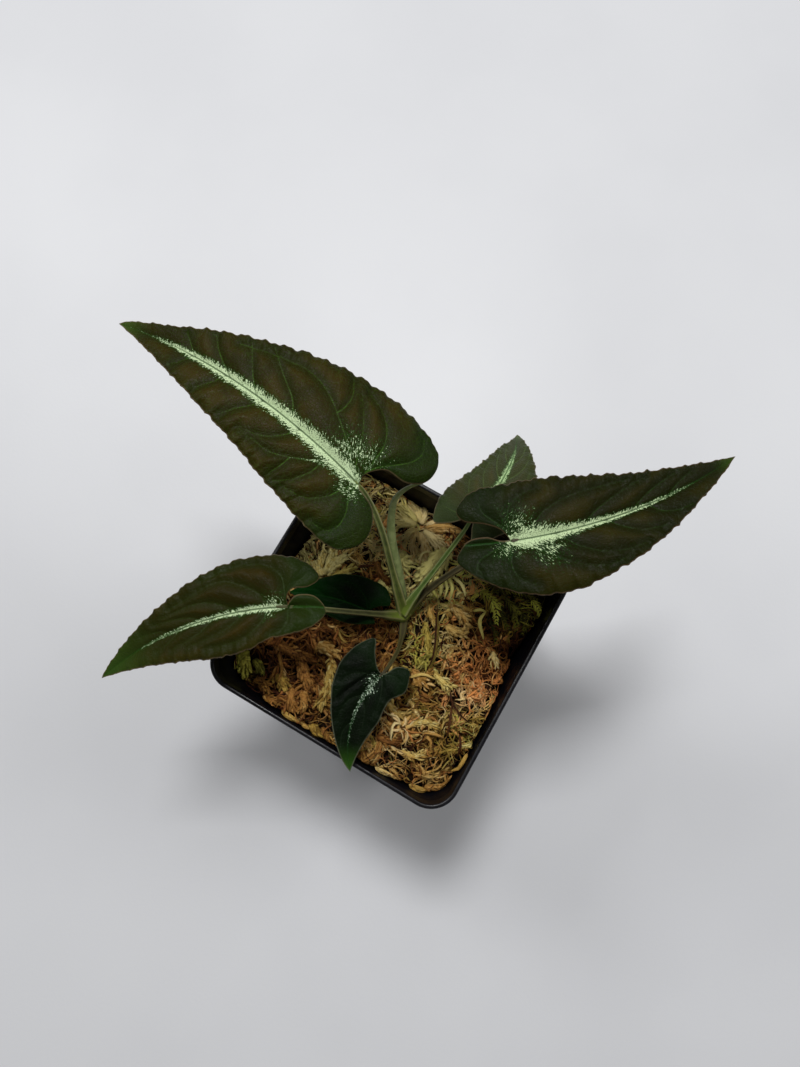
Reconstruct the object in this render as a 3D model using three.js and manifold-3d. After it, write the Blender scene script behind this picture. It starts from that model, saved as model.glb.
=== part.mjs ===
import * as THREE from 'three';
import Module from 'manifold-3d';
import { mergeVertices } from 'three/addons/utils/BufferGeometryUtils.js';

// Potted Syngonium rayii: a young arrow-leaved aroid in a square nursery pot filled with sphagnum moss.
// Millimetres, +Z up. The origin is the centre of the pot's underside, and X and Y run along its sides.

// Pot
const potHeight = 85;
const rimWidth = 90;
const baseWidth = 65;
const rimCorner = 9.5;
const baseCorner = 7;
const wallThickness = 1.2;
const floorThickness = 1.8;
const lipWidth = 2.2;
const bandHeight = 9;
const bandStep = 0.9;
const cornerSteps = 7;
const cornerHole = { radius: 3.6, place: 20 };
const sideHole = { radius: 3, place: 23 };

// Moss
const fit = 0.35;
const mossLevel = 78;
const mossSpokes = 88;
const mossRings = 16;
const strandCount = 190;
const strandTop = 83;
// Where the bed sinks below or rises above its level: x, y, how far, and how wide.
const mossDips = [
  [-37, -37, -9, 10],
  [-43, 12, -10, 14],
  [-36, 36, -8, 12],
  [-10, 44, -10, 12],
  [12, 44, -10, 12],
  [36, 40, -9, 12],
  [42, 12, -6, 10],
  [42, -41, -4, 8],
  [-14, -42, 4, 14],
  [12, -40, 4.5, 15],
  [40, -18, 3, 12],
  [24, 0, 2, 10],
  [0, 4, -3.5, 10],
];

// Stem, roots and stalks. A route is a list of x, y, z; the sheath is its first stretch, grown to the stem.
const stemRoute = [[2.6, 4.2, 46], [2.3, 4, 62], [2.6, 4.2, 76], [2.3, 4.6, 81.5]];
const stemRadius = 2.3;
const rootRadius = 1.1;
const rootCount = 6;
const joint = 0.35;
const tubeStep = 4;
const stalks = {
  petiole_a: {
    route: [
      [2.1, 5.2, 80], [-1.6, 8.6, 87.5], [-7.6, 14.5, 98], [-13.1, 19.9, 108.5], [-18.6, 24, 117.5],
      [-22.4, 25.8, 124], [-24.2, 26.2, 125.6], [-27, 27, 126.1],
    ],
    radius: [1.5, 1.15, 1.05, 0.6],
    sheath: 13,
    color: 0x5b7038,
  },
  petiole_b: {
    route: [
      [2.4, 4.7, 79], [5.1, 13.2, 86], [9.1, 20.6, 95], [12.7, 25.6, 102.5], [16.6, 30.1, 110.5],
      [19.7, 33.6, 118.2], [21.2, 35.1, 119.9], [23.8, 37.1, 120.1],
    ],
    radius: [1.4, 1.05, 0.95, 0.55],
    sheath: 9,
    color: 0x45452d,
  },
  petiole_c: {
    route: [
      [2.7, 4.1, 79], [-2.5, 1, 84], [-11.8, -4.2, 92.5], [-19.4, -8.5, 100.2],
      [-25.2, -11.8, 105.2], [-27.6, -13, 106.1], [-30, -14.4, 106.3],
    ],
    radius: [1.3, 0.95, 0.85, 0.5],
    sheath: 6.5,
    color: 0x4f5a3b,
  },
  petiole_d: {
    route: [
      [2.1, 5.2, 81.5], [3, 11.4, 87.5], [4.6, 20, 93], [6.2, 28.5, 99.5], [7.2, 34.6, 104.6],
      [7.4, 37.9, 106.9], [7.7, 40.2, 105.6],
    ],
    radius: [1.25, 0.9, 0.8, 0.5],
    sheath: 8.5,
    color: 0x4f7648,
  },
  petiole_e: {
    route: [[2.1, 4, 77], [-1, 3, 78.8], [-4.6, 1.2, 81.4], [-7.6, -0.6, 84], [-9.6, -0.9, 84.2]],
    radius: [1.1, 0.75, 0.6, 0.45],
    sheath: 4.6,
    color: 0x3d5a30,
  },
  petiole_f: {
    route: [
      [3.3, 3, 78], [5.4, -1.6, 81], [7, -7.2, 85.7], [7.1, -12.2, 89.8], [6.8, -15.4, 91.9],
      [6.1, -17.8, 92.2],
    ],
    radius: [1.1, 0.75, 0.65, 0.45],
    sheath: 5,
    color: 0x56603a,
  },
  new_leaf: {
    route: [
      [2.1, 5.2, 80], [-1.6, 10.4, 86.4], [-6.5, 16.1, 92.5], [-10.9, 21, 97.6], [-14.4, 27, 104.4],
      [-15.3, 31.4, 109.6], [-13, 35.5, 113.6], [-9.8, 38.2, 116],
    ],
    radius: [1.2, 1.45, 1.4, 0.35],
    sheath: 12.5,
    color: 0x78875f,
  },
};

// Leaf blades. Along the rib, u runs from the stalk to the tip; v runs across, to the left of the rib.
// Heading and pitch are the rib's at the stalk, in degrees, and sweep and bend are their change by the tip.
// Fold and curl set the rise beside the rib and its turn by the blade's half width, left and right.
// Each margin runs from beside the tip to its lobe, and each notch from beside the stalk to the same lobe.
const bladeThickness = 0.7;
const columns = [0, 0.3, 0.68, 1];
const leaves = {
  leaf_a: {
    base: [-23.9, 26.4, 127], length: 92, halfWidth: 24, rows: 45, color: 0x2d2a19,
    heading: 164.5, sweep: 20.8, pitch: 9, bend: 27, roll: 4, fold: [15, 13], curl: [-36, -34],
    waves: 19, scallop: 0.3, ripple: 0.45, puff: 0.7, veinSpacing: 11,
    left: {
      margin: [[84.9, 2.3], [66.2, 8.1], [49, 12.5], [33.6, 15.4], [20.7, 17.8], [5.2, 19.1], [-4, 19],
        [-9.7, 17.2]],
      lobe: [-12.6, 13],
      notch: [[-1.7, 0.9], [-7, 1.7], [-11, 4.9], [-13, 9]],
    },
    right: {
      margin: [[89.3, -1.6], [85, -2.7], [72.5, -5.8], [58.6, -10.9], [45.3, -15.7], [34.4, -20],
        [23.2, -23.5], [8.9, -26.1], [-1, -25.8], [-7.6, -24.2]],
      lobe: [-11.6, -20],
      notch: [[0.7, -3.3], [-2.4, -8.4], [-8.4, -10.2], [-11.9, -14.5]],
    },
  },
  leaf_b: {
    base: [20.8, 34.8, 121], length: 74.2, halfWidth: 22, rows: 37, color: 0x2f2d18,
    heading: 37.5, sweep: 28.2, pitch: 4, bend: 20, roll: -4, fold: [13, 15], curl: [-34, -34],
    waves: 16, scallop: 0.35, ripple: 0.5, puff: 0.6, veinSpacing: 9.5,
    left: {
      margin: [[69.1, 1.8], [55.2, 6.2], [40.1, 10.3], [25.9, 14.3], [12, 16.9], [0, 16.9], [-9.5, 16]],
      lobe: [-15, 10.8],
      notch: [[-2.6, 3.6], [-7.1, 5.7], [-13.2, 7.1]],
    },
    right: {
      margin: [[68.3, -1.8], [55.2, -5.6], [39.1, -11.1], [25.3, -15], [14, -17.3], [4, -16.5],
        [-6.3, -12.4]],
      lobe: [-14.9, -5.7],
      notch: [[-3.1, 0.3], [-6.8, 1.7], [-11.5, 1.3], [-14.3, -1.2]],
    },
  },
  leaf_c: {
    base: [-27, -12.7, 107], length: 63.9, halfWidth: 16, rows: 34, color: 0x2f331d,
    heading: -147.8, sweep: 35.8, pitch: 3, bend: 24, roll: 3, fold: [13, 13], curl: [-34, -32],
    waves: 15, scallop: 0.25, ripple: 0.35, puff: 0.8, veinSpacing: 8,
    left: {
      margin: [[59.1, 1.9], [46.5, 6.3], [36.3, 9.4], [27.3, 11.6], [19.3, 12.3], [12.4, 11.6],
        [6.2, 9.4], [-0.8, 8.3], [-7.6, 6]],
      lobe: [-11.5, 1.4],
      notch: [[-0.9, -1.7], [-3, -3.4], [-8, -3]],
    },
    right: {
      margin: [[61.3, -1.1], [50, -4.6], [37.7, -8.7], [26.9, -12.7], [15.4, -15.9], [4.2, -16.4],
        [-4, -14.2]],
      lobe: [-8.7, -9.2],
      notch: [[0.3, -3], [-1.4, -5.4], [-5.8, -6]],
    },
  },
  leaf_d: {
    base: [7.3, 38.1, 108], length: 53.9, halfWidth: 14, rows: 28, color: 0x2e3a26,
    heading: 77.8, sweep: 33, pitch: -26, bend: 26, roll: -6, fold: [14, 14], curl: [-34, -34],
    waves: 12, scallop: 0.25, ripple: 0.3, puff: 0.6, veinSpacing: 7.5,
    left: {
      margin: [[47.3, 2.1], [38.8, 5.5], [25.5, 8.5], [14.4, 10.8], [5, 12.1], [-3.5, 11]],
      lobe: [-10.8, 7],
      notch: [[-2.7, 1.4], [-7.1, 3.3]],
    },
    right: {
      margin: [[48.6, -2.3], [37.3, -6.3], [28.5, -9.2], [19, -12], [10, -12.6], [1, -10.2]],
      lobe: [-6.8, -6.4],
      notch: [[-1.6, -1.5], [-4.4, -3.2]],
    },
  },
  leaf_e: {
    base: [-7.8, -0.8, 85.5], length: 27.3, halfWidth: 10, rows: 14, color: 0x0d3a14,
    heading: -176.2, sweep: 24.8, pitch: -2, bend: 6, roll: 0, fold: [10, 10], curl: [-26, -26],
    waves: 5, scallop: 0, ripple: 0.2, puff: 0.3, veinSpacing: 5,
    left: {
      margin: [[24.3, 1.6], [19.4, 3.9], [11.5, 6], [4, 6.1]],
      lobe: [-3.6, 2.8],
      notch: [[-1.6, 0.7]],
    },
    right: {
      margin: [[24.2, -1.7], [15.1, -6.7], [10.1, -8.9], [4, -9.8]],
      lobe: [-4.9, -6],
      notch: [[-2.2, -2.8]],
    },
  },
  leaf_f: {
    base: [6.8, -16, 93], length: 32.5, halfWidth: 11, rows: 17, color: 0x1b241c,
    heading: -109.2, sweep: 62, pitch: 2, bend: 14, roll: 0, fold: [12, 22], curl: [-32, -30],
    waves: 7, scallop: 0, ripple: 0.25, puff: 0.35, veinSpacing: 5.5,
    left: {
      margin: [[29.2, 1.9], [23, 4.8], [14.2, 7.7], [4.5, 7.3], [-2.9, 8.6]],
      lobe: [-8.2, 4],
      notch: [[-2, 0.5], [-5.6, 0.9]],
    },
    right: {
      margin: [[28.5, -1.9], [21.4, -4.7], [14.6, -7.9], [8.6, -10.9], [2.6, -12.4]],
      lobe: [-4, -10.8],
      notch: [[-0.3, -2.7], [-2.1, -6.5]],
    },
  },
};

const wasm = await Module();
wasm.setup();

const radians = THREE.MathUtils.degToRad;
const mix = THREE.MathUtils.lerp;

// A seeded draw of numbers from 0 to 1, alike on every run.
function drawNumbers(seed) {
  let state = seed;
  return () => {
    state = (state + 0x6d2b79f5) | 0;
    let t = Math.imul(state ^ (state >>> 15), 1 | state);
    t = (t + Math.imul(t ^ (t >>> 7), 61 | t)) ^ t;
    return ((t ^ (t >>> 14)) >>> 0) / 4294967296;
  };
}

// A geometry from points and triangles, with equal points shared and empty triangles dropped.
function weld(points, triangles) {
  const places = new Map();
  const kept = [];
  const index = points.map((p) => {
    const key = [p.x, p.y, p.z].map((n) => Math.round(n * 2000)).join();
    if (!places.has(key)) {
      places.set(key, kept.length / 3);
      kept.push(p.x, p.y, p.z);
    }
    return places.get(key);
  });
  const faces = triangles.map((t) => t.map((i) => index[i]));
  const full = faces.filter(([a, b, c]) => a !== b && b !== c && c !== a);
  const geometry = new THREE.BufferGeometry();
  geometry.setAttribute('position', new THREE.Float32BufferAttribute(kept, 3));
  geometry.setIndex(full.flat());
  geometry.computeVertexNormals();
  return geometry;
}

// A closed body through rings of equally many points, with its two ends capped from their middles.
function loft(rings) {
  const count = rings[0].length;
  const points = rings.flat();
  const triangles = [];
  rings.slice(1).forEach((_, r) => {
    for (let i = 0; i < count; i++) {
      const j = (i + 1) % count;
      const [a, b] = [r * count + i, r * count + j];
      const [c, d] = [a + count, b + count];
      triangles.push([a, b, d], [a, d, c]);
    }
  });
  [0, rings.length - 1].forEach((r) => {
    const middle = new THREE.Vector3();
    rings[r].forEach((p) => middle.addScaledVector(p, 1 / count));
    points.push(middle);
    for (let i = 0; i < count; i++) {
      const [a, b] = [r * count + i, r * count + ((i + 1) % count)];
      triangles.push(r === 0 ? [points.length - 1, b, a] : [points.length - 1, a, b]);
    }
  });
  return weld(points, triangles);
}

function toManifold(source) {
  const geometry = source.clone();
  geometry.deleteAttribute('normal');
  geometry.deleteAttribute('uv');
  const merged = mergeVertices(geometry, 1e-4);
  return new wasm.Manifold(new wasm.Mesh({
    numProp: 3,
    vertProperties: merged.attributes.position.array,
    triVerts: new Uint32Array(merged.index.array),
  }));
}

function toGeometry(manifold) {
  const { vertProperties, triVerts } = manifold.getMesh();
  const geometry = new THREE.BufferGeometry();
  geometry.setAttribute('position', new THREE.BufferAttribute(vertProperties, 3));
  geometry.setIndex(new THREE.BufferAttribute(triVerts, 1));
  geometry.computeVertexNormals();
  return geometry;
}

function namedMesh(name, geometry, color, roughness) {
  const mesh = new THREE.Mesh(geometry, new THREE.MeshStandardMaterial({ color, roughness, metalness: 0 }));
  mesh.name = name;
  return mesh;
}

// Pot: a tapered square tub with a rolled band under its lip and drainage holes in its floor.

// A square ring with round corners, anticlockwise from above.
function squareRing(half, corner, z) {
  const ring = [];
  for (let quarter = 0; quarter < 4; quarter++) {
    for (let i = 0; i <= cornerSteps; i++) {
      const angle = radians(90 * (quarter + i / cornerSteps));
      const [sx, sy] = [quarter === 0 || quarter === 3 ? 1 : -1, quarter < 2 ? 1 : -1];
      const x = sx * (half - corner) + corner * Math.cos(angle);
      const y = sy * (half - corner) + corner * Math.sin(angle);
      ring.push(new THREE.Vector3(x, y, z));
    }
  }
  return ring;
}

// Half width and corner radius of the pot's outer wall at a height, without the band.
function wallAt(z) {
  const t = z / potHeight;
  return { half: mix(baseWidth, rimWidth - 2 * bandStep, t) / 2, corner: mix(baseCorner, rimCorner, t) };
}

const lip = rimWidth / 2;
const bandFoot = potHeight - bandHeight;

// A ring on the pot's inner wall, or clear of it by a gap; the wall leans out again behind the band.
function innerRing(z, gap) {
  const below = wallAt(Math.min(z, bandFoot));
  const t = Math.max(0, (z - bandFoot) / bandHeight);
  const half = mix(below.half - wallThickness, lip - lipWidth, t);
  const corner = mix(below.corner - wallThickness, rimCorner - lipWidth, t);
  return squareRing(half - gap, corner - gap, z);
}

function makePot() {
  const wallRing = (z, inset) => {
    const { half, corner } = wallAt(z);
    return squareRing(half - inset, corner - inset, z);
  };
  const profile = [
    wallRing(0, 0.7),
    wallRing(0.7, 0),
    wallRing(bandFoot - bandStep, 0),
    squareRing(lip - 0.35, rimCorner, bandFoot),
    squareRing(lip, rimCorner, potHeight - 0.5),
    squareRing(lip - 0.5, rimCorner - 0.5, potHeight),
    squareRing(lip - lipWidth + 0.4, rimCorner - lipWidth + 0.4, potHeight),
    squareRing(lip - lipWidth, rimCorner - lipWidth, potHeight - 0.4),
    innerRing(bandFoot, 0),
    innerRing(floorThickness, 0),
  ];
  const drill = (radius, x, y) => {
    const bit = new THREE.CylinderGeometry(radius, radius, 4 * floorThickness, 20);
    return toManifold(bit.rotateX(Math.PI / 2).translate(x, y, 0));
  };
  let pot = toManifold(loft(profile));
  for (let i = 0; i < 4; i++) {
    const [c, s] = [Math.cos((i * Math.PI) / 2), Math.sin((i * Math.PI) / 2)];
    const { place, radius } = cornerHole;
    pot = pot.subtract(drill(radius, place * (c - s), place * (s + c)));
    pot = pot.subtract(drill(sideHole.radius, sideHole.place * c, sideHole.place * s));
  }
  return toGeometry(pot);
}

// Stalks: tubes that taper along a smooth route.

// Rings of a tube along a route, from one share of its length to another; grow makes it wider.
function tubeRings(route, radii, from, to, sides, grow = 0) {
  const curve = new THREE.CatmullRomCurve3(route.map((p) => new THREE.Vector3(...p)), false, 'centripetal');
  const steps = Math.max(2, Math.round((curve.getLength() * (to - from)) / tubeStep));
  const radiusCurve = new THREE.SplineCurve(
    radii.map((r, i) => new THREE.Vector2(i / (radii.length - 1), r)),
  );
  const rings = [];
  for (let i = 0; i <= steps; i++) {
    const share = mix(from, to, i / steps);
    const along = curve.getTangentAt(share);
    const side = new THREE.Vector3(0.31, -0.95, 0.05).cross(along).normalize();
    const other = along.clone().cross(side);
    const radius = radiusCurve.getPoint(share).y + grow;
    const centre = curve.getPointAt(share);
    const ring = [];
    for (let j = 0; j < sides; j++) {
      const angle = (2 * Math.PI * j) / sides;
      const offset = side.clone().multiplyScalar(radius * Math.cos(angle));
      offset.addScaledVector(other, radius * Math.sin(angle));
      ring.push(centre.clone().add(offset));
    }
    rings.push(ring);
  }
  return { rings, length: curve.getLength() };
}

function makeTube(route, radii, from, to, sides, grow) {
  return loft(tubeRings(route, radii, from, to, sides, grow).rings);
}

function routeLength(route) {
  return new THREE.CatmullRomCurve3(route.map((p) => new THREE.Vector3(...p)), false, 'centripetal').getLength();
}

// Roots fan out below the stem and turn down into the moss.
function rootRoutes() {
  const draw = drawNumbers(11);
  const routes = [];
  for (let i = 0; i < rootCount; i++) {
    const angle = radians(360 * (i + 0.35 * draw()) / rootCount);
    const [c, s] = [Math.cos(angle), Math.sin(angle)];
    const top = 66 - 17 * (i / (rootCount - 1));
    const reach = 13 + 7 * draw();
    routes.push([
      [2.3, 4, top],
      [2.3 + 0.45 * reach * c, 4 + 0.45 * reach * s, top - 4],
      [2.3 + 0.85 * reach * c, 4 + 0.85 * reach * s, top - 13],
      [2.3 + reach * c, 4 + reach * s, mix(top, 14, 0.75)],
    ]);
  }
  return routes;
}

// The stem with its roots and with the sheaths that the stalks grow from, or the hole that it leaves.
function makeStem(grow) {
  const parts = [makeTube(stemRoute, [1.9, stemRadius, stemRadius + 0.3, 2.1], 0, 1, 12, grow)];
  rootRoutes().forEach((route) => {
    parts.push(makeTube(route, [rootRadius, 1, 0.8, 0.45], 0, 1, 5, grow));
  });
  Object.values(stalks).forEach(({ route, radius, sheath }) => {
    parts.push(makeTube(route, radius.map((r) => r + 0.15), 0, sheath / routeLength(route), 8, grow));
  });
  return parts.map(toManifold).reduce((whole, part) => whole.add(part));
}

function makeStalk({ route, radius, sheath }) {
  return makeTube(route, radius, (sheath + joint) / routeLength(route), 1, 8, 0);
}

// Moss: a bed that fills the pot, with strands lying over it as ridges.

function strandRidges() {
  const draw = drawNumbers(4);
  return Array.from({ length: strandCount }, () => ({
    x: 84 * (draw() - 0.5),
    y: 84 * (draw() - 0.5),
    angle: 2 * Math.PI * draw(),
    length: mix(6, 11, draw()),
    width: mix(1.6, 2.6, draw()),
    height: mix(0.8, 2.6, draw()),
    turn: mix(-0.06, 0.06, draw()),
  }));
}

function mossHeight(ridges, x, y) {
  let bed = mossLevel;
  mossDips.forEach(([dx, dy, rise, reach]) => {
    bed += rise * Math.exp(-((x - dx) ** 2 + (y - dy) ** 2) / reach ** 2);
  });
  let relief = 0;
  ridges.forEach(({ x: rx, y: ry, angle, length, width, height, turn }) => {
    const along = (x - rx) * Math.cos(angle) + (y - ry) * Math.sin(angle);
    const across = (y - ry) * Math.cos(angle) - (x - rx) * Math.sin(angle) - turn * along ** 2;
    const ridge = height * Math.exp(-((across / width) ** 2) - (along / length) ** 4);
    relief = Math.max(relief, ridge);
  });
  return bed + relief;
}

function makeMoss() {
  const ridges = strandRidges();
  const bed = (x, y) => Math.min(mossHeight(ridges, x, y), strandTop);
  const spread = (outline) => {
    const path = new THREE.CurvePath();
    outline.forEach((p, i) => path.add(new THREE.LineCurve3(p, outline[(i + 1) % outline.length])));
    return Array.from({ length: mossSpokes }, (_, i) => path.getPointAt(i / mossSpokes));
  };
  const foot = spread(innerRing(floorThickness + fit, fit));
  const shoulder = spread(innerRing(mossLevel - 16, fit));
  const level = spread(innerRing(mossLevel, fit));
  const edge = level.map((p, i) => {
    const z = bed(p.x, p.y) - 1;
    return shoulder[i].clone().lerp(p, Math.min(1, (z - shoulder[i].z) / (p.z - shoulder[i].z))).setZ(z);
  });
  const rings = [foot, shoulder, edge];
  for (let r = 1; r < mossRings; r++) {
    const share = 1 - (r / mossRings) ** 1.1;
    rings.push(edge.map(({ x, y }) => new THREE.Vector3(x * share, y * share, bed(x * share, y * share))));
  }
  return toGeometry(toManifold(loft(rings)).subtract(makeStem(fit)));
}

// Leaf blades: a flat outline in u and v, bent along its rib and across it.

// The rib's forward direction, the blade's sideways direction and its face, u along the rib.
function bladeFrame(leaf, u) {
  const share = u / leaf.length;
  const heading = radians(leaf.heading + leaf.sweep * share);
  const pitch = radians(leaf.pitch - leaf.bend * share);
  const forward = new THREE.Vector3(
    Math.cos(pitch) * Math.cos(heading),
    Math.cos(pitch) * Math.sin(heading),
    Math.sin(pitch),
  );
  const side = new THREE.Vector3(-Math.sin(heading), Math.cos(heading), 0);
  side.applyAxisAngle(forward, radians(leaf.roll));
  return { forward, side, face: forward.clone().cross(side) };
}

function ribPoint(leaf, u) {
  const steps = 12;
  const point = new THREE.Vector3(...leaf.base);
  for (let i = 0; i < steps; i++) {
    const { forward } = bladeFrame(leaf, (u * (i + 0.5)) / steps);
    point.addScaledVector(forward, u / steps);
  }
  return point;
}

// A point of the blade and the direction that its face looks in, v across the rib.
function bladePoint(leaf, u, v) {
  const hand = v > 0 ? 0 : 1;
  const start = radians(leaf.fold[hand]);
  const turn = radians(leaf.curl[hand]) / leaf.halfWidth;
  const far = Math.abs(v);
  const end = start + turn * far;
  const { side, face } = bladeFrame(leaf, u);
  const point = ribPoint(leaf, u);
  point.addScaledVector(side, (Math.sign(v) * (Math.sin(end) - Math.sin(start))) / turn);
  point.addScaledVector(face, (Math.cos(start) - Math.cos(end)) / turn);
  const tilt = v === 0 ? 0 : end * Math.sign(v);
  const normal = face.clone().multiplyScalar(Math.cos(tilt)).addScaledVector(side, -Math.sin(tilt));
  return { point, normal };
}

// Rows of one half from the tip to its lobe, and columns from the rib or the notch out to the margin.
function bladeHalf(leaf, half) {
  const flat = (points) => new THREE.SplineCurve(points.map(([u, v]) => new THREE.Vector2(u, v)));
  const notch = flat([[0, 0], ...half.notch, half.lobe]);
  const margin = flat([[leaf.length, 0], ...half.margin, half.lobe]);
  const ribRows = leaf.rows;
  const notchRows = Math.max(3, Math.round((ribRows * notch.getLength()) / leaf.length));
  const whole = leaf.length + notch.getLength();
  const rows = [];
  for (let r = 0; r <= ribRows + notchRows; r++) {
    const onRib = r <= ribRows;
    const inner = onRib
      ? new THREE.Vector2(leaf.length * (1 - r / ribRows), 0)
      : notch.getPointAt((r - ribRows) / notchRows);
    const beyond = onRib ? 0 : (notch.getLength() * (r - ribRows)) / notchRows;
    const run = onRib ? leaf.length - inner.x : leaf.length + beyond;
    const share = Math.min(1, run / whole);
    const outer = margin.getPointAt(share);
    const turns = share * leaf.waves;
    const fade = Math.sin(Math.PI * share) ** 0.5;
    const reach = outer.clone().sub(inner).normalize();
    outer.addScaledVector(reach, leaf.scallop * fade * Math.cos(2 * Math.PI * turns));
    rows.push(columns.map((t) => {
      const place = inner.clone().lerp(outer, t);
      const vein = (place.x - 0.7 * Math.abs(place.y)) / leaf.veinSpacing;
      const puff = leaf.puff * Math.sin(Math.PI * t) * (Math.sin(Math.PI * vein) ** 2 - 0.4) * fade;
      const ripple = leaf.ripple * t ** 3 * Math.sin(2 * Math.PI * turns) * fade;
      return { u: place.x, v: onRib && t === 0 ? 0 : place.y, lift: puff + ripple };
    }));
  }
  return { rows, ribRows };
}

function makeBlade(leaf) {
  const points = [];
  const triangles = [];
  [leaf.left, leaf.right].forEach((half, hand) => {
    const { rows, ribRows } = bladeHalf(leaf, half);
    const start = points.length;
    const last = columns.length - 1;
    rows.forEach((row) => row.forEach(({ u, v, lift }) => {
      const { point, normal } = bladePoint(leaf, u, v);
      points.push(point.clone().addScaledVector(normal, lift + bladeThickness / 2));
      points.push(point.clone().addScaledVector(normal, lift - bladeThickness / 2));
    }));
    const at = (r, c, under) => start + 2 * (r * columns.length + c) + under;
    const face = (a, b, c) => triangles.push(hand === 0 ? [a, b, c] : [a, c, b]);
    for (let r = 0; r < rows.length - 1; r++) {
      for (let c = 0; c < last; c++) {
        face(at(r, c, 0), at(r + 1, c + 1, 0), at(r + 1, c, 0));
        face(at(r, c, 0), at(r, c + 1, 0), at(r + 1, c + 1, 0));
        face(at(r, c, 1), at(r + 1, c, 1), at(r + 1, c + 1, 1));
        face(at(r, c, 1), at(r + 1, c + 1, 1), at(r, c + 1, 1));
      }
      face(at(r, last, 0), at(r + 1, last, 1), at(r + 1, last, 0));
      face(at(r, last, 0), at(r, last, 1), at(r + 1, last, 1));
      if (r >= ribRows) {
        face(at(r, 0, 0), at(r + 1, 0, 0), at(r + 1, 0, 1));
        face(at(r, 0, 0), at(r + 1, 0, 1), at(r, 0, 1));
      }
    }
  });
  return weld(points, triangles);
}

const group = new THREE.Group();
group.add(namedMesh('pot', makePot(), 0x19191d, 0.45));
group.add(namedMesh('sphagnum_moss', makeMoss(), 0xa58250, 0.95));
group.add(namedMesh('stem_with_roots', toGeometry(makeStem(0)), 0x6d7a35, 0.6));
Object.entries(stalks).forEach(([name, stalk]) => {
  group.add(namedMesh(name, makeStalk(stalk), stalk.color, 0.5));
});
Object.entries(leaves).forEach(([name, leaf]) => {
  group.add(namedMesh(name, makeBlade(leaf), leaf.color, 0.55));
});

export default group;
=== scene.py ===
import bpy
import numpy as np
from mathutils import Matrix, Vector
from mathutils.geometry import delaunay_2d_cdt


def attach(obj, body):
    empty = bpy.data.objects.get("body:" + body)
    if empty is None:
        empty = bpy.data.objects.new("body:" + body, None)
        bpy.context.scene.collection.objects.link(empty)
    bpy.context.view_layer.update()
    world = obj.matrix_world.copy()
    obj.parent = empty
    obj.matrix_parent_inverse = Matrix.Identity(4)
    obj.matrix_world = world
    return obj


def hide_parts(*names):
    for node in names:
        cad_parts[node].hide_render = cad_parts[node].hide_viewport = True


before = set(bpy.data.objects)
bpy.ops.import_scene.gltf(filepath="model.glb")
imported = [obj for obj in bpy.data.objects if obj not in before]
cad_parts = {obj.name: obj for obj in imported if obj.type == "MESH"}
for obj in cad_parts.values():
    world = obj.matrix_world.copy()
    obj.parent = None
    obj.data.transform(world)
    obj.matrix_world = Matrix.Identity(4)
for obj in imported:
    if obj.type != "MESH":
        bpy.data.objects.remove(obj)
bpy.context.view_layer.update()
mm = 0.001


# Camera: it looks down on the pot from above its front corner.

camera = {
    "eye": (19.07, -14.0, 344.1),
    "right": (0.8641, 0.5027, -0.024),
    "down": (0.4896, -0.8507, -0.1912),
    "focalPixels": 801,
    "longSidePixels": 1067,
    "sensor": 36,
    "near": 0.01,  # the nearest and farthest it sees, in metres
    "far": 20,
}


def makeCamera():
    # The focal length in millimetres is the sensor's width times its share of the long side.
    data = bpy.data.cameras.new("camera")
    data.sensor_width = camera["sensor"]
    data.lens = camera["sensor"] * camera["focalPixels"] / camera["longSidePixels"]
    data.clip_start = camera["near"]
    data.clip_end = camera["far"]
    right = Vector(camera["right"]).normalized()
    up = -Vector(camera["down"])
    up = (up - right * up.dot(right)).normalized()
    turn = Matrix((right, up, right.cross(up))).transposed().to_4x4()
    view = bpy.data.objects.new("camera", data)
    view.matrix_world = Matrix.Translation(Vector(camera["eye"]) * mm) @ turn
    bpy.context.scene.collection.objects.link(view)
    bpy.context.scene.camera = view


makeCamera()
print("camera placed")


# Meshes: points in millimetres, and triangles.

def gridFaces(rows, columns, closed=False, start=0):
    # Two triangles for each cell of a grid; they face along column step x row step.
    r, c = np.meshgrid(np.arange(rows - 1), np.arange(columns if closed else columns - 1), indexing="ij")
    a = start + r * columns + c
    b = start + r * columns + (c + 1) % columns
    near = np.stack([a, b, b + columns], -1).reshape(-1, 3)
    far = np.stack([a, b + columns, a + columns], -1).reshape(-1, 3)
    return np.concatenate([near, far])


def bandFaces(first, second):
    # Two triangles between each pair of neighbours in two closed, equally long rows of points.
    b, d = np.roll(first, -1), np.roll(second, -1)
    return np.concatenate([np.stack([first, d, b], -1), np.stack([first, second, d], -1)])


def fullTurn(count):
    # Even angles once round, the last one short of the first.
    return np.linspace(0, 2 * np.pi, count, endpoint=False)


def bell(distance, width):
    # exp(-(distance / width)^2)
    return np.exp(-((distance / width) ** 2))


def directionOf(vectors):
    # Each vector over its own length.
    return vectors / np.maximum(np.linalg.norm(vectors, axis=-1, keepdims=True), 1e-9)


weldSteps = 2000  # in a millimetre


def weld(points, faces):
    # Points within half a thousandth of a millimetre become one, and flat triangles go.
    keys = np.round(points * weldSteps).astype(np.int64)
    first, index = np.unique(keys, axis=0, return_index=True, return_inverse=True)[1:]
    joined = index.reshape(-1)[faces]
    whole = (joined != np.roll(joined, 1, axis=1)).all(1)
    return first, joined[whole], whole


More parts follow.
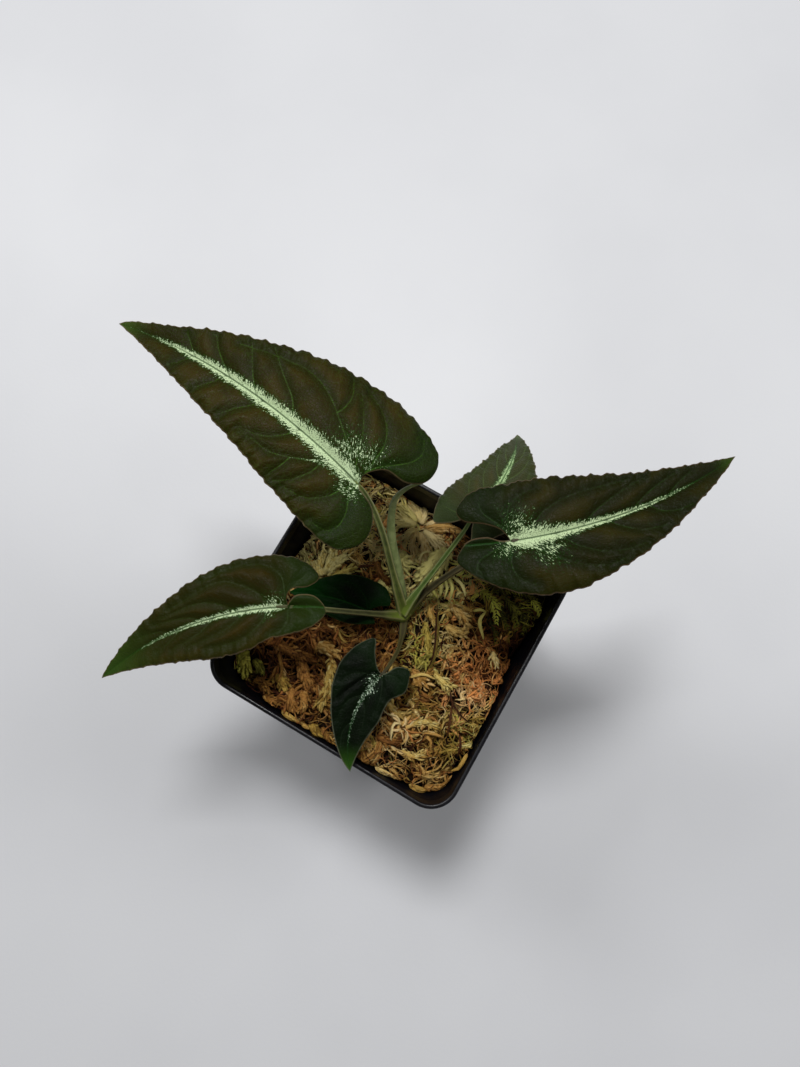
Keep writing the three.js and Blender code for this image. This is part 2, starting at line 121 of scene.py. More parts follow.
def makePiece(name, points, faces, materials, nodes=(), fields=None, uv=None, parts=None):
    # One value per point for each field, one surface place per corner, one part per triangle.
    mesh = bpy.data.meshes.new(name)
    mesh.vertices.add(len(points))
    mesh.vertices.foreach_set("co", (np.asarray(points) * mm).astype(np.float32).ravel())
    mesh.loops.add(faces.size)
    mesh.loops.foreach_set("vertex_index", faces.astype(np.int32).ravel())
    mesh.polygons.add(len(faces))
    mesh.polygons.foreach_set("loop_start", np.arange(0, faces.size, 3, dtype=np.int32))
    for material in materials:
        mesh.materials.append(material)
    if parts is not None:
        mesh.polygons.foreach_set("material_index", parts.astype(np.int32))
    mesh.update(calc_edges=True)
    for field, values in (fields or {}).items():
        layer = mesh.attributes.new(field, "FLOAT", "POINT")
        layer.data.foreach_set("value", np.asarray(values, np.float32))
    if uv is not None:
        layer = mesh.uv_layers.new(name="surface")
        layer.data.foreach_set("uv", uv.astype(np.float32).ravel())
    mesh.shade_smooth()
    piece = bpy.data.objects.new(name, mesh)
    bpy.context.scene.collection.objects.link(piece)
    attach(piece, "root")
    if nodes:
        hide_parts(*nodes)
    print(name, len(faces), "triangles")


def smoothLine(points, steps, power=0.5, after=None):
    # A cubic from each point to the next, its slopes taken from both neighbours; each
    # stretch counts as its length to the given power, so power 0 spaces them evenly.
    # The last slope looks towards the point after, if there is one.
    points = np.asarray(points, float)
    before = 2 * points[0] - points[1] if power else points[0]
    if after is None:
        after = 2 * points[-1] - points[-2] if power else points[-1]
    line = np.vstack([before, points, after])
    gaps = np.linalg.norm(np.diff(line, axis=0), axis=1)[:, None] ** power
    before, here, after = gaps[:-2], gaps[1:-1], gaps[2:]
    p0, p1, p2, p3 = line[:-3], line[1:-2], line[2:-1], line[3:]
    slope1 = here * ((p1 - p0) / before - (p2 - p0) / (before + here)) + p2 - p1
    slope2 = here * ((p3 - p2) / after - (p3 - p1) / (here + after)) + p2 - p1
    t = (np.arange(steps) / steps)[None, :, None]
    p1, p2, slope1, slope2 = p1[:, None], p2[:, None], slope1[:, None], slope2[:, None]
    curve = (2 * t**3 - 3 * t**2 + 1) * p1 + (t**3 - 2 * t**2 + t) * slope1
    curve = curve + (3 * t**2 - 2 * t**3) * p2 + (t**3 - t**2) * slope2
    return np.vstack([curve.reshape(-1, points.shape[1]), points[-1]])


def lineLength(line):
    # The sum of its steps.
    return np.linalg.norm(np.diff(line, axis=0), axis=1).sum()


def alongLine(line, shares):
    # The points at given shares of a line's length.
    run = np.append(0, np.cumsum(np.linalg.norm(np.diff(line, axis=0), axis=1)))
    return np.stack([np.interp(np.asarray(shares) * run[-1], run, column) for column in line.T], -1)


# Materials: small helpers that add one node each, beside the one that feeds it, and give
# back its output.

def colour(red, green, blue):
    # Screen values from 0 to 255 as linear light: ((s + 0.055) / 1.055) ^ 2.4.
    screen = np.array([red, green, blue]) / 255
    light = np.where(screen > 0.04045, ((screen + 0.055) / 1.055) ** 2.4, screen / 12.92)
    return (*light.tolist(), 1.0)


def startMaterial(name, roughness=0.5, specular=0.5, sheen=0.0, sheenTone=(1, 1, 1, 1), sheenRoughness=0.5):
    # A new material with these values on its shader's own sockets.
    material = bpy.data.materials.new(name)
    material.use_nodes = True
    shader = material.node_tree.nodes["Principled BSDF"]
    for socket, value in (
            ("Roughness", roughness), ("Specular IOR Level", specular), ("Sheen Weight", sheen),
            ("Sheen Tint", sheenTone), ("Sheen Roughness", sheenRoughness)):
        shader.inputs[socket].default_value = value
    return material, material.node_tree, shader


def put(socket, value):
    # An output is linked; a number or a colour is set on the socket itself.
    if isinstance(value, bpy.types.NodeSocket):
        socket.id_data.links.new(value, socket)
    else:
        socket.default_value = value


def mathOf(operation, *values):
    # The operation on the values, the first of which is an output.
    node = values[0].id_data.nodes.new("ShaderNodeMath")
    node.operation = operation
    for socket, value in zip(node.inputs, values):
        put(socket, value)
    return node.outputs[0]


def times(first, second):
    # first x second
    return mathOf("MULTIPLY", first, second)


def plus(first, second):
    # first + second
    return mathOf("ADD", first, second)


def swing(noise, amount):
    # (noise - 0.5) x amount
    return times(mathOf("SUBTRACT", noise, 0.5), amount)


def stepOf(value, low, high, start=0.0, end=1.0):
    # A smooth step from start, where the value is low, to end, where it is high.
    node = value.id_data.nodes.new("ShaderNodeMapRange")
    node.interpolation_type = "SMOOTHSTEP"
    for socket, number in zip(node.inputs, (value, low, high, start, end)):
        put(socket, number)
    return node.outputs[0]


def mixOf(factor, first, second):
    # The first tone x (1 - factor) + the second x factor.
    node = factor.id_data.nodes.new("ShaderNodeMix")
    node.data_type = "RGBA"
    for number, value in ((0, factor), (6, first), (7, second)):
        put(node.inputs[number], value)
    return node.outputs[2]


def layered(ground, *layers):
    # Each mask in turn lays its own tone over what is there.
    for mask, tone in layers:
        ground = mixOf(mask, ground, tone)
    return ground


def rampOf(factor, stops):
    # Tones at their places from 0 to 1.
    node = factor.id_data.nodes.new("ShaderNodeValToRGB")
    elements = node.color_ramp.elements
    elements.remove(elements[1])
    elements[0].position, elements[0].color = stops[0]
    for place, tone in stops[1:]:
        elements.new(place).color = tone
    put(node.inputs[0], factor)
    return node.outputs[0]


def noiseOf(place, scale, detail=3.0, roughness=0.5, stretch=None):
    # Noise about 0.5, at a place that stretch multiplies in each direction.
    tree = place.id_data
    if stretch:
        mapping = tree.nodes.new("ShaderNodeMapping")
        mapping.inputs["Scale"].default_value = stretch
        put(mapping.inputs["Vector"], place)
        place = mapping.outputs[0]
    node = tree.nodes.new("ShaderNodeTexNoise")
    for socket, value in (("Scale", scale), ("Detail", detail), ("Roughness", roughness), ("Vector", place)):
        put(node.inputs[socket], value)
    return node.outputs[0]


def cellsOf(place, scale):
    # Distance to the nearest border between irregular cells.
    node = place.id_data.nodes.new("ShaderNodeTexVoronoi")
    node.feature = "DISTANCE_TO_EDGE"
    node.inputs["Scale"].default_value = scale
    put(node.inputs["Vector"], place)
    return node.outputs["Distance"]


def fieldOf(tree, name):
    # A field's value, which makePiece stored at the points.
    node = tree.nodes.new("ShaderNodeAttribute")
    node.attribute_name = name
    return node.outputs["Fac"]


def surfaceOf(tree):
    # The place on the surface, in decimetres along and across it.
    node = tree.nodes.new("ShaderNodeUVMap")
    node.uv_map = "surface"
    return node.outputs[0]


def objectOf(tree):
    # The place in the object, in metres.
    return tree.nodes.new("ShaderNodeTexCoord").outputs["Object"]


def finishSkin(shader, tone, height, distance, strength=1.0):
    # The tone, and a bump as high as the distance in metres.
    bump = shader.id_data.nodes.new("ShaderNodeBump")
    bump.inputs["Distance"].default_value = distance
    bump.inputs["Strength"].default_value = strength
    put(bump.inputs["Height"], height)
    put(shader.inputs["Base Color"], tone)
    put(shader.inputs["Normal"], bump.outputs[0])


# Pot: a square nursery pot in black plastic.

pot = {
    "height": 85,
    "rimWidth": 90,
    "baseWidth": 65,
    "rimCorner": 9.5,
    "baseCorner": 7,
    "wall": 1.2,
    "floor": 1.8,
    "lipWidth": 1.5,
    "bandHeight": 9,
    "bandStep": 0.9,
    # x, y and radius of each drainage hole
    "holes": [(20, 20, 3.6), (-20, 20, 3.6), (-20, -20, 3.6), (20, -20, 3.6),
              (23, 0, 3), (0, 23, 3), (-23, 0, 3), (0, -23, 3)],
    "holeSides": 28,
    "cornerSteps": 14,
    # the profile in rows: step out, height, wear
    "baseEdge": [(-0.7, 0, 0.5), (-0.35, 0.1, 1), (-0.1, 0.35, 1)],
    "wallRows": [(0.7, 0.7), (2, 0), (20, 0), (40, 0), (58, 0), (74.6, 0), (75.05, 0)],
    "band": [(-0.62, 75.25, 0), (-0.45, 75.6, 0.4), (-0.35, 76, 1), (-0.28, 76.6, 0.3), (-0.1, 80, 0),
             (-0.02, 83.6, 0.1), (0, 84.3, 0.8), (-0.1, 84.7, 1), (-0.28, 84.92, 1), (-0.5, 85, 0.7)],
    "lipEdge": [(0.5, 85, 0.4), (0.2, 84.92, 1), (0.05, 84.7, 1), (0, 84.3, 0.5)],
    "innerRows": (82, 79, 76, 70, 50, 30, 12, 3.4),
    "floorEdge": [(-0.25, 2.3), (-0.9, 1.8)],
    "black": colour(9, 9, 13),
    "scuffed": colour(26, 25, 31),
    "dust": colour(96, 90, 78),
    "roughness": 0.3,
}


def wallAt(z):
    # Half width and corner radius go straight from base to rim.
    t = z / pot["height"]
    half = (pot["baseWidth"] + (pot["rimWidth"] - 2 * pot["bandStep"] - pot["baseWidth"]) * t) / 2
    return half, pot["baseCorner"] + (pot["rimCorner"] - pot["baseCorner"]) * t


def innerAt(z):
    # The inner wall lies a wall's thickness in, and leans out to the lip behind the band.
    foot = pot["height"] - pot["bandHeight"]
    half, corner = wallAt(np.minimum(z, foot))
    t = np.clip((z - foot) / pot["bandHeight"], 0, 1)
    lip, lipCorner = pot["rimWidth"] / 2 - pot["lipWidth"], pot["rimCorner"] - pot["lipWidth"]
    half, corner = half - pot["wall"], corner - pot["wall"]
    return half + (lip - half) * t, corner + (lipCorner - corner) * t


def squareLoop(half, corner, z):
    # Four quarter circles of the corner's radius, set half minus radius from the middle.
    turn = np.linspace(0, np.pi / 2, pot["cornerSteps"])
    quarter = np.arange(4)[:, None] * np.pi / 2
    angle = (quarter + turn).ravel()
    sides = np.repeat(np.array([[1, 1], [-1, 1], [-1, -1], [1, -1]]), pot["cornerSteps"], axis=0)
    place = sides * (half - corner) + corner * np.stack([np.cos(angle), np.sin(angle)], -1)
    return np.column_stack([place, np.full(len(place), z)])


def potMaterial(name, specular):
    # Black, scuffed in clouds, scratches and rubbed edges, and a little dusty.
    material, tree, shader = startMaterial(name, specular=specular)
    place = objectOf(tree)
    cloud = noiseOf(place, 38, 4)
    grain = noiseOf(place, 2600, 2)
    scratch = stepOf(noiseOf(place, 160, 3, 0.6, (1, 1, 9)), 0.64, 0.72)
    marks = stepOf(noiseOf(place, 120, 6, 0.65), 0.6, 0.76)
    rubbed = times(fieldOf(tree, "edge"), stepOf(noiseOf(place, 420, 3), 0.4, 0.62))
    tone = layered(
        pot["black"], (times(stepOf(cloud, 0.4, 0.7), 0.35), pot["scuffed"]),
        (times(scratch, 0.3), pot["scuffed"]), (times(rubbed, 0.6), pot["scuffed"]),
        (times(marks, 0.07), pot["dust"]))
    rough = stepOf(cloud, 0.3, 0.75, pot["roughness"] - 0.05, pot["roughness"] + 0.14)
    put(shader.inputs["Roughness"], plus(rough, times(marks, 0.2)))
    finishSkin(shader, tone, plus(times(grain, 0.6), times(scratch, -0.3)), 0.00006)
    return material


def makePlate(loop, z, up):
    # Delaunay triangles between the loop and the drainage holes, without those in a hole.
    turn = fullTurn(pot["holeSides"])
    circle = np.stack([np.cos(turn), np.sin(turn)], -1)
    rims = [np.array([x, y]) + radius * circle for x, y, radius in pot["holes"]]
    ring = np.arange(len(loop))
    edges = np.column_stack([ring, np.roll(ring, -1)]).tolist()
    made = delaunay_2d_cdt([Vector(p) for p in np.vstack([loop[:, :2], *rims])], edges, [], 0, 1e-6)
    points, faces = np.array([tuple(p) for p in made[0]]), np.array(made[2])
    middles = points[faces].mean(1)
    kept = np.ones(len(faces), bool)
    for x, y, radius in pot["holes"]:
        kept &= np.hypot(middles[:, 0] - x, middles[:, 1] - y) > radius * 0.995
    faces = faces[kept]
    a, b, c = points[faces].transpose(1, 0, 2)
    turned = (b[:, 0] - a[:, 0]) * (c[:, 1] - a[:, 1]) - (b[:, 1] - a[:, 1]) * (c[:, 0] - a[:, 0])
    wrong = (turned < 0) == up
    faces[wrong] = faces[wrong][:, ::-1]
    return np.column_stack([points, np.full(len(points), z)]), faces, rims


def makePot():
    # A profile carried round rounded squares: up the outside, over the lip and down inside.
    lip, corner, base, baseCorner = pot["rimWidth"] / 2, pot["rimCorner"], *wallAt(0)
    lipIn, cornerIn = lip - pot["lipWidth"], corner - pot["lipWidth"]
    half, inCorner = innerAt(pot["floor"])
    outside = [(base + step, baseCorner + step, z, wear) for step, z, wear in pot["baseEdge"]]
    outside += [(*wallAt(z), z, wear) for z, wear in pot["wallRows"]]
    outside += [(lip + step, corner + min(0, step), z, wear) for step, z, wear in pot["band"]]
    inside = [(lipIn + step, cornerIn + step, z, wear) for step, z, wear in pot["lipEdge"]]
    inside += [(*innerAt(z), z, 0) for z in pot["innerRows"]]
    inside += [(half + step, inCorner + step, z, 0) for step, z in pot["floorEdge"]]
    loops = [squareLoop(h, c, z) for h, c, z, wear in outside + inside]
    around = len(loops[0])
    edge = np.repeat([wear for h, c, z, wear in outside + inside], around)
    faces = gridFaces(len(loops), around, closed=True)
    inner = faces.min(1) // around >= len(outside) + len(pot["lipEdge"])
    points = np.vstack(loops)
    under, underFaces, rims = makePlate(loops[0], 0, False)
    floor, floorFaces, rims = makePlate(loops[-1], pot["floor"], True)
    faces = np.vstack([faces, underFaces + len(points), floorFaces + len(points) + len(under)])
    points = np.vstack([points, under, floor])
    edge = np.append(edge, np.zeros(len(under) + len(floor)))
    for rim in rims:
        ring = np.arange(len(rim)) + len(points)
        low, high = (np.column_stack([rim, np.full(len(rim), z)]) for z in (0, pot["floor"]))
        points = np.vstack([points, low, high])
        edge = np.append(edge, np.full(2 * len(rim), 0.5))
        faces = np.vstack([faces, bandFaces(ring, ring + len(rim))])
    inner = np.append(inner, np.zeros(len(faces) - len(inner), bool))
    first, faces, whole = weld(points, faces)
    skins = [potMaterial("pot black plastic", 0.3), potMaterial("pot inner wall", 0.07)]
    makePiece("pot_body", points[first], faces, skins, ["pot"], {"edge": edge[first]},
              parts=inner[whole].astype(int))


makePot()


# Leaves: arrow-shaped blades, bent along the rib and across it.
# Points are (along the rib, across it) in millimetres from where the rib leaves the stalk.
# stripe: place, half width and thinning. side: a vein's number, and the width and length of
# the stripe on it. dust: pale spots, each a place and a size.

leaves = {
    "leaf_a": {
        "base": (-23.9, 26.4, 127), "length": 92, "halfWidth": 24, "heading": 164.5, "sweep": 20.8,
        "pitch": 9, "bend": 27, "roll": 4, "fold": (15, 13), "curl": (-36, -34), "waves": 19,
        "scallop": 0.3, "ripple": 0.45, "puff": 0.75,
        "left": {
            "margin": [[84.9, 2.3], [66.2, 8.1], [49, 12.5], [33.6, 15.4], [20.7, 17.8], [5.2, 19.1],
                       [-4, 19], [-9.7, 17.2]],
            "lobe": [-12.6, 13],
            "notch": [[-1.7, 0.9], [-7, 1.7], [-11, 4.9], [-13, 9]],
        },
        "right": {
            "margin": [[89.3, -1.6], [85, -2.7], [72.5, -5.8], [58.6, -10.9], [45.3, -15.7], [34.4, -20],
                       [23.2, -23.5], [8.9, -26.1], [-1, -25.8], [-7.6, -24.2]],
            "lobe": [-11.6, -20],
            "tuck": 1.2,
            "notch": [[0.7, -3.3], [-2.4, -8.4], [-8.4, -10.2], [-11.9, -14.5]],
        },
        "veins": [
            [(0, 0), (4.1, -1.4), (8.6, -4.9), (17.5, -10.1), (23.9, -13.4), (30.9, -15), (37.8, -13.9),
             (52.4, -9.9)],
            [(27, -2), (30.2, -5.4), (36.7, -9.5), (43.9, -14.9)],
            [(39.2, 0), (42.9, -3.5), (50, -12.3)],
            [(49, 0), (56.1, -4.7), (60.1, -8.7)],
            [(62, 0), (65, -2.5), (68.1, -5.3)],
            [(18.1, -10.8), (17.7, -13.7), (18.4, -17.5), (22.1, -22.7)],
            [(2.5, -0.8), (6.2, -6), (9.4, -11.4), (12.5, -15.3), (16.7, -19.5)],
            [(0, 0), (1.6, -7.6), (2.7, -12.8), (5.3, -16.9), (8.9, -19.7), (16.9, -22.4)],
            [(1.1, -3.6), (-0.7, -7.7), (-3.2, -11.4), (-5.7, -16.2), (-5.7, -20.1), (-3.3, -23.4)],
            [(0, 0), (3.7, 0.4), (9.8, 1.8), (14.2, 5), (18.9, 8.2), (24.1, 10.8), (29.8, 11.2), (36, 11)],
            [(0.4, 0.2), (2.2, 5.2), (3.1, 8.3), (5.1, 11.4), (8.1, 14), (15.7, 16)],
            [(0.2, 0.6), (-1.1, 5), (-3.5, 8.3), (-4.9, 12.6), (-4, 15.6), (2.1, 17.6)],
            [(18.9, 8.2), (19.4, 12.2), (20.4, 15.6)],
            [(11.5, 3), (11.8, 7.6), (14.4, 12.8), (17.9, 16.6)],
            [(36.5, 0), (38.1, 3.6), (40.8, 7), (43.3, 10.7)],
            [(50.4, 0), (51.8, 3.9), (55.3, 8.6)],
            [(22.9, 0), (24.6, 4.1), (28.4, 8.2), (33.4, 10.3)],
            [(63.1, 0), (64.5, 3.6), (66.1, 5.3)],
        ],
        "stripe": [(-1, 0.5, 0.5), (0.5, 1.4, 0.15), (5, 2.5, 0.08), (14, 2.4, 0.08), (32, 1.85, 0.05),
                   (50, 1.6, 0.12), (60, 1.3, 0.25), (68, 1.1, 0.45), (74, 1, 0.8), (80, 0.8, 1.5)],
        "side": [(9, 1.5, 26), (0, 0.8, 8)],
        "dust": [(8.5, -5, 5), (4, -7, 4.5), (0, 3.2, 3), (2.5, 4, 2.5)],
    },
    "leaf_b": {
        "base": (20.8, 34.8, 121), "length": 74.2, "halfWidth": 22, "heading": 37.5, "sweep": 28.2,
        "pitch": 4, "bend": 20, "roll": -4, "fold": (13, 15), "curl": (-34, -34), "waves": 16,
        "scallop": 0.35, "ripple": 0.5, "puff": 0.65,
        "left": {
            "margin": [[69.1, 1.8], [55.2, 6.2], [40.1, 10.3], [25.9, 14.3], [12, 16.9], [0, 16.9],
                       [-9.5, 16]],
            "lobe": [-15, 10.8],
            "notch": [[-2.6, 3.6], [-7.1, 5.7], [-13.2, 7.1]],
        },
        "right": {
            "margin": [[68.3, -1.8], [55.2, -5.6], [39.1, -11.1], [25.3, -15], [14, -17.3], [4, -16.5],
                       [-6.3, -12.4]],
            "lobe": [-14.9, -5.7],
            "notch": [[-3.1, 0.3], [-6.8, 1.7], [-11.5, 1.3], [-14.3, -1.2]],
        },
        "veins": [
            [(0, 0), (4.3, 2), (7.7, 4.3), (10.3, 6.5), (13, 7.7), (16.4, 8.8), (21.3, 9.6), (29.1, 9.6),
             (38, 8.8)],
            [(-0.3, 1.9), (0, 5.9), (0.6, 9.4), (4.7, 12.7), (10, 14)],
            [(-1.2, 3.5), (-4.6, 6.5), (-6.8, 8.5), (-8, 11.1), (-7.5, 13.8)],
            [(20.9, 0), (25, 2.9), (30, 4.9), (36.6, 6.6), (43.1, 7.6)],
            [(35.6, 0), (40.6, 2.4), (46, 4), (53.1, 5)],
            [(48, 0), (51.6, 1.7), (58, 3.4)],
            [(0, 0), (4.1, -2.2), (7.3, -4), (10.2, -5.9), (13, -8.3), (17.7, -11), (23.8, -12.8),
             (29.2, -12.4)],
            [(-0.2, -0.6), (-0.9, -5.9), (-0.4, -9.5), (1.6, -12.1), (4.8, -14)],
            [(-1.9, -0.6), (-5.7, -2.8), (-8.8, -4.6), (-10.1, -6.9), (-8.9, -9)],
            [(12.7, 0), (16.9, -4.5), (22.6, -8.3), (28.9, -10.1), (35.4, -10.3)],
            [(27.4, 0), (31.6, -3.8), (36.3, -6.6), (42.7, -7.8)],
            [(41, 0), (43.4, -3.3), (47.9, -5.2), (52.5, -5.5)],
        ],
        "stripe": [(-1.5, 0.5, 0.5), (0, 1.2, 0.1), (3, 2.8, 0), (8, 2.6, 0), (14, 1.7, 0.1),
                   (21, 1.25, 0.15), (28, 1, 0.25), (38, 0.75, 0.4), (47, 0.7, 0.65), (54, 0.7, 1.05),
                   (60, 0.6, 1.9)],
        "side": [(0, 1.7, 11), (6, 1.6, 14)],
        "dust": [(-2, -2.4, 2.6), (3, 4.2, 4.2), (10, -4.5, 4), (1, -2, 3)],
    },
    "leaf_c": {
        "base": (-27, -12.7, 107), "length": 63.9, "halfWidth": 16, "heading": -147.8, "sweep": 35.8,
        "pitch": 3, "bend": 24, "roll": 3, "fold": (13, 13), "curl": (-34, -32), "waves": 15,
        "scallop": 0.25, "ripple": 0.35, "puff": 1.15,
        "left": {
            "margin": [[59.1, 1.9], [46.5, 6.3], [36.3, 9.4], [27.3, 11.6], [19.3, 12.3], [12.4, 11.6],
                       [6.2, 9.4], [-0.8, 8.3], [-7.6, 6]],
            "lobe": [-11.5, 1.4],
            "notch": [[-0.9, -1.7], [-3, -3.4], [-8, -3]],
        },
        "right": {
            "margin": [[61.3, -1.1], [50, -4.6], [37.7, -8.7], [26.9, -12.7], [15.4, -15.9], [4.2, -16.4],
                       [-4, -14.2]],
            "lobe": [-8.7, -9.2],
            "notch": [[0.3, -3], [-1.4, -5.4], [-5.8, -6]],
        },
        "veins": [
            [(0.2, 0), (0.9, -4.9), (1.7, -9.3), (4.7, -12.4), (9.2, -14), (13.6, -14.2), (18.3, -13.4),
             (23.7, -12)],
            [(5.2, 0), (8.3, -4.4), (11, -6.6), (14.5, -8.7), (18, -10.2), (22, -10), (26, -8.8),
             (30.9, -7.4), (35, -6.6)],
            [(14.8, 0), (18.4, -2.4), (22.1, -4.4), (26.4, -5.4), (31.7, -5.4), (37.2, -5)],
            [(26, 0), (29.5, -2), (34, -3.2), (40.5, -4.2)],
            [(36, 0), (40, -1.8), (45.5, -3)],
            [(0.1, -1.9), (-1.4, -5.5), (-3.5, -7.9), (-5.6, -10.1)],
            [(1, 0), (5.8, 1.7), (8.7, 4.7), (11.7, 7), (15.2, 8.5), (20.2, 9), (26.6, 8.6)],
            [(12.4, 0), (16.3, 2.9), (21, 4.9), (26.8, 5.9), (32.5, 6.1)],
            [(22.9, 0), (26.5, 2.7), (31.5, 4.3), (37.7, 5)],
            [(33.4, 0), (37.3, 2.3), (42.6, 3.6)],
            [(0, 0.4), (0.1, 4.2), (2, 7.1), (5.5, 8.6)],
            [(-0.7, 0), (-3.7, 0.2), (-7.4, 2), (-8.7, 4.1)],
        ],
        "stripe": [(0.5, 0.6, 0.6), (2, 1.2, 0.3), (6, 1.25, 0.25), (12, 1.15, 0.3), (20, 0.95, 0.4),
                   (30, 0.75, 0.5), (40, 0.65, 0.75), (47, 0.6, 1.1), (52, 0.5, 1.9)],
        "side": [],
        "dust": [(4, -2, 2.4), (6, 1.6, 1.8)],
    },
    "leaf_d": {
        "base": (7.3, 38.1, 108), "length": 53.9, "halfWidth": 14, "heading": 77.8, "sweep": 33,
        "pitch": -26, "bend": 26, "roll": -6, "fold": (14, 14), "curl": (-34, -34), "waves": 12,
        "scallop": 0.25, "ripple": 0.3, "puff": 0.65,
        "left": {
            "margin": [[47.3, 2.1], [38.8, 5.5], [25.5, 8.5], [14.4, 10.8], [5, 12.1], [-3.5, 11]],
            "lobe": [-10.8, 7],
            "notch": [[-2.7, 1.4], [-7.1, 3.3]],
        },
        "right": {
            "margin": [[48.6, -2.3], [37.3, -6.3], [28.5, -9.2], [19, -12], [10, -12.6], [1, -10.2]],
            "lobe": [-6.8, -6.4],
            "notch": [[-1.6, -1.5], [-4.4, -3.2]],
        },
        "veins": [
            [(0, 0), (4, 3.6), (9, 7), (15, 8.8), (22, 8)],
            [(9, 0), (14, 4), (20, 6.2), (28, 6.4)],
            [(19, 0), (24, 3), (31, 4.6), (37, 4.6)],
            [(29, 0), (34, 2.4), (41, 3.2)],
            [(-0.6, 0.6), (-3, 5), (-4, 8.6)],
            [(0, 0), (4, -3.8), (9, -7.6), (15, -9.4), (22, -9)],
            [(10, 0), (15, -4.4), (21, -6.8), (29, -7)],
            [(20, 0), (25, -3.2), (32, -5), (39, -5)],
            [(30, 0), (35, -2.4), (43, -3.4)],
            [(-0.4, -0.6), (-1.6, -4), (-1, -7.6)],
        ],
        "stripe": [(0, 0.6, 0.5), (3, 1.1, 0.25), (10, 1.15, 0.25), (22, 1.05, 0.3), (30, 0.9, 0.4),
                   (37, 0.75, 0.7), (42, 0.7, 1.2), (46, 0.5, 1.9)],
        "side": [],
        "dust": [(5, 2.4, 2.4), (6, -2.4, 2.4)],
    },
    "leaf_e": {
        "base": (-7.8, -0.8, 85.5), "length": 27.3, "halfWidth": 10, "heading": -176.2, "sweep": 24.8,
        "pitch": -2, "bend": 6, "roll": 0, "fold": (10, 10), "curl": (-26, -26), "waves": 5,
        "scallop": 0.0, "ripple": 0.2, "puff": 0.3,
        "left": {
            "margin": [[24.3, 1.6], [19.4, 3.9], [11.5, 6], [4, 6.1]],
            "lobe": [-3.6, 2.8],
            "notch": [[-1.6, 0.7]],
        },
        "right": {
            "margin": [[24.2, -1.7], [15.1, -6.7], [10.1, -8.9], [4, -9.8], [-1.8, -9.2]],
            "lobe": [-5.2, -5.4],
            "notch": [[-2.2, -2.8]],
        },
        "veins": [
            [(0, 0), (3, 2.6), (7, 4.2), (12, 4.4)],
            [(8, 0), (12, 2.4), (17, 3)],
            [(0, 0), (3, -4), (8, -6.4), (13, -6)],
            [(8, 0), (12, -3), (17, -4)],
            [(15, 0), (18, -1.6), (22, -2)],
        ],
        "stripe": [(0, 0.1, 5)],
        "side": [],
        "dust": [],
    },
    "leaf_f": {
        "base": (6.8, -16, 93), "length": 32.5, "halfWidth": 11, "heading": -109.2, "sweep": 62,
        "pitch": 2, "bend": 14, "roll": 0, "fold": (12, 22), "curl": (-32, -30), "waves": 7,
        "scallop": 0.0, "ripple": 0.25, "puff": 0.35,
        "left": {
            "margin": [[29.2, 1.9], [23, 4.8], [14.2, 7.7], [4.5, 7.3], [-2.9, 8.6]],
            "lobe": [-8.2, 4],
            "notch": [[-2, 0.5], [-5.6, 0.9]],
        },
        "right": {
            "margin": [[28.5, -1.9], [21.4, -4.7], [14.6, -7.9], [8.6, -10.9], [2.6, -12.4]],
            "lobe": [-4, -10.8],
            "notch": [[-0.3, -2.7], [-2.1, -6.5]],
            "creases": [[(0, -1), (4, -3), (8, -4.6), (12, -6.6)]],
        },
        "veins": [
            [(0, 0), (3, -3.8), (6, -7.4), (11, -8.8)],
            [(8, 0), (12, -3.6), (18, -4.8)],
            [(17, 0), (20, -2), (25, -2.4)],
            [(0, 0), (3, 3), (8, 5.2), (13, 5.4)],
            [(9, 0), (13, 2.8), (19, 3.8)],
            [(-0.4, 0.4), (-3, 3), (-4, 5.4)],
        ],
        "stripe": [(0, 0.6, 1.2), (2, 0.8, 0.9), (6, 0.9, 0.8), (12, 0.7, 0.95), (17, 0.7, 1.1),
                   (21, 0.7, 1.3), (26, 0.6, 1.9)],
        "side": [],
        "dust": [(3, -0.4, 1.5), (6, 0.6, 1.3)],
    },
}

blade = {
    "cell": 0.37,  # grid spacing
    "thickness": 0.42,
    "edge": 0.14,  # how far the margin swells
    "groove": 0.42,  # over the rib
    "veinDepth": 0.34,
    "veinWidth": 0.7,
    "veinReach": 2.6,  # a puff starts this far from a vein
    "ribReach": 2.2,
    "softEdge": 2.5,  # puffs and veins fade over this at the margin
    "droop": 0.22,  # of the margin
    "crease": 0.9,
    "ridge": 0.8,  # the rib under the blade
    "veinRidge": 0.2,
    "fineVein": 0.45,
    "lean": 52,  # degrees from the rib to the surface's first direction
    "apart": 0.83,  # shift of the right half's surface
}


def bladeFrame(leaf, u):
    # Heading and pitch change evenly along the rib; side is level, then rolled about the rib.
    share = u / leaf["length"]
    heading = np.radians(leaf["heading"] + leaf["sweep"] * share)
    pitch = np.radians(leaf["pitch"] - leaf["bend"] * share)
    forward = np.stack([np.cos(pitch) * np.cos(heading), np.cos(pitch) * np.sin(heading), np.sin(pitch)], -1)
    level = np.stack([-np.sin(heading), np.cos(heading), np.zeros_like(heading)], -1)
    roll = np.radians(leaf["roll"])
    side = level * np.cos(roll) + np.cross(forward, level) * np.sin(roll)
    return forward, side, np.cross(forward, side)


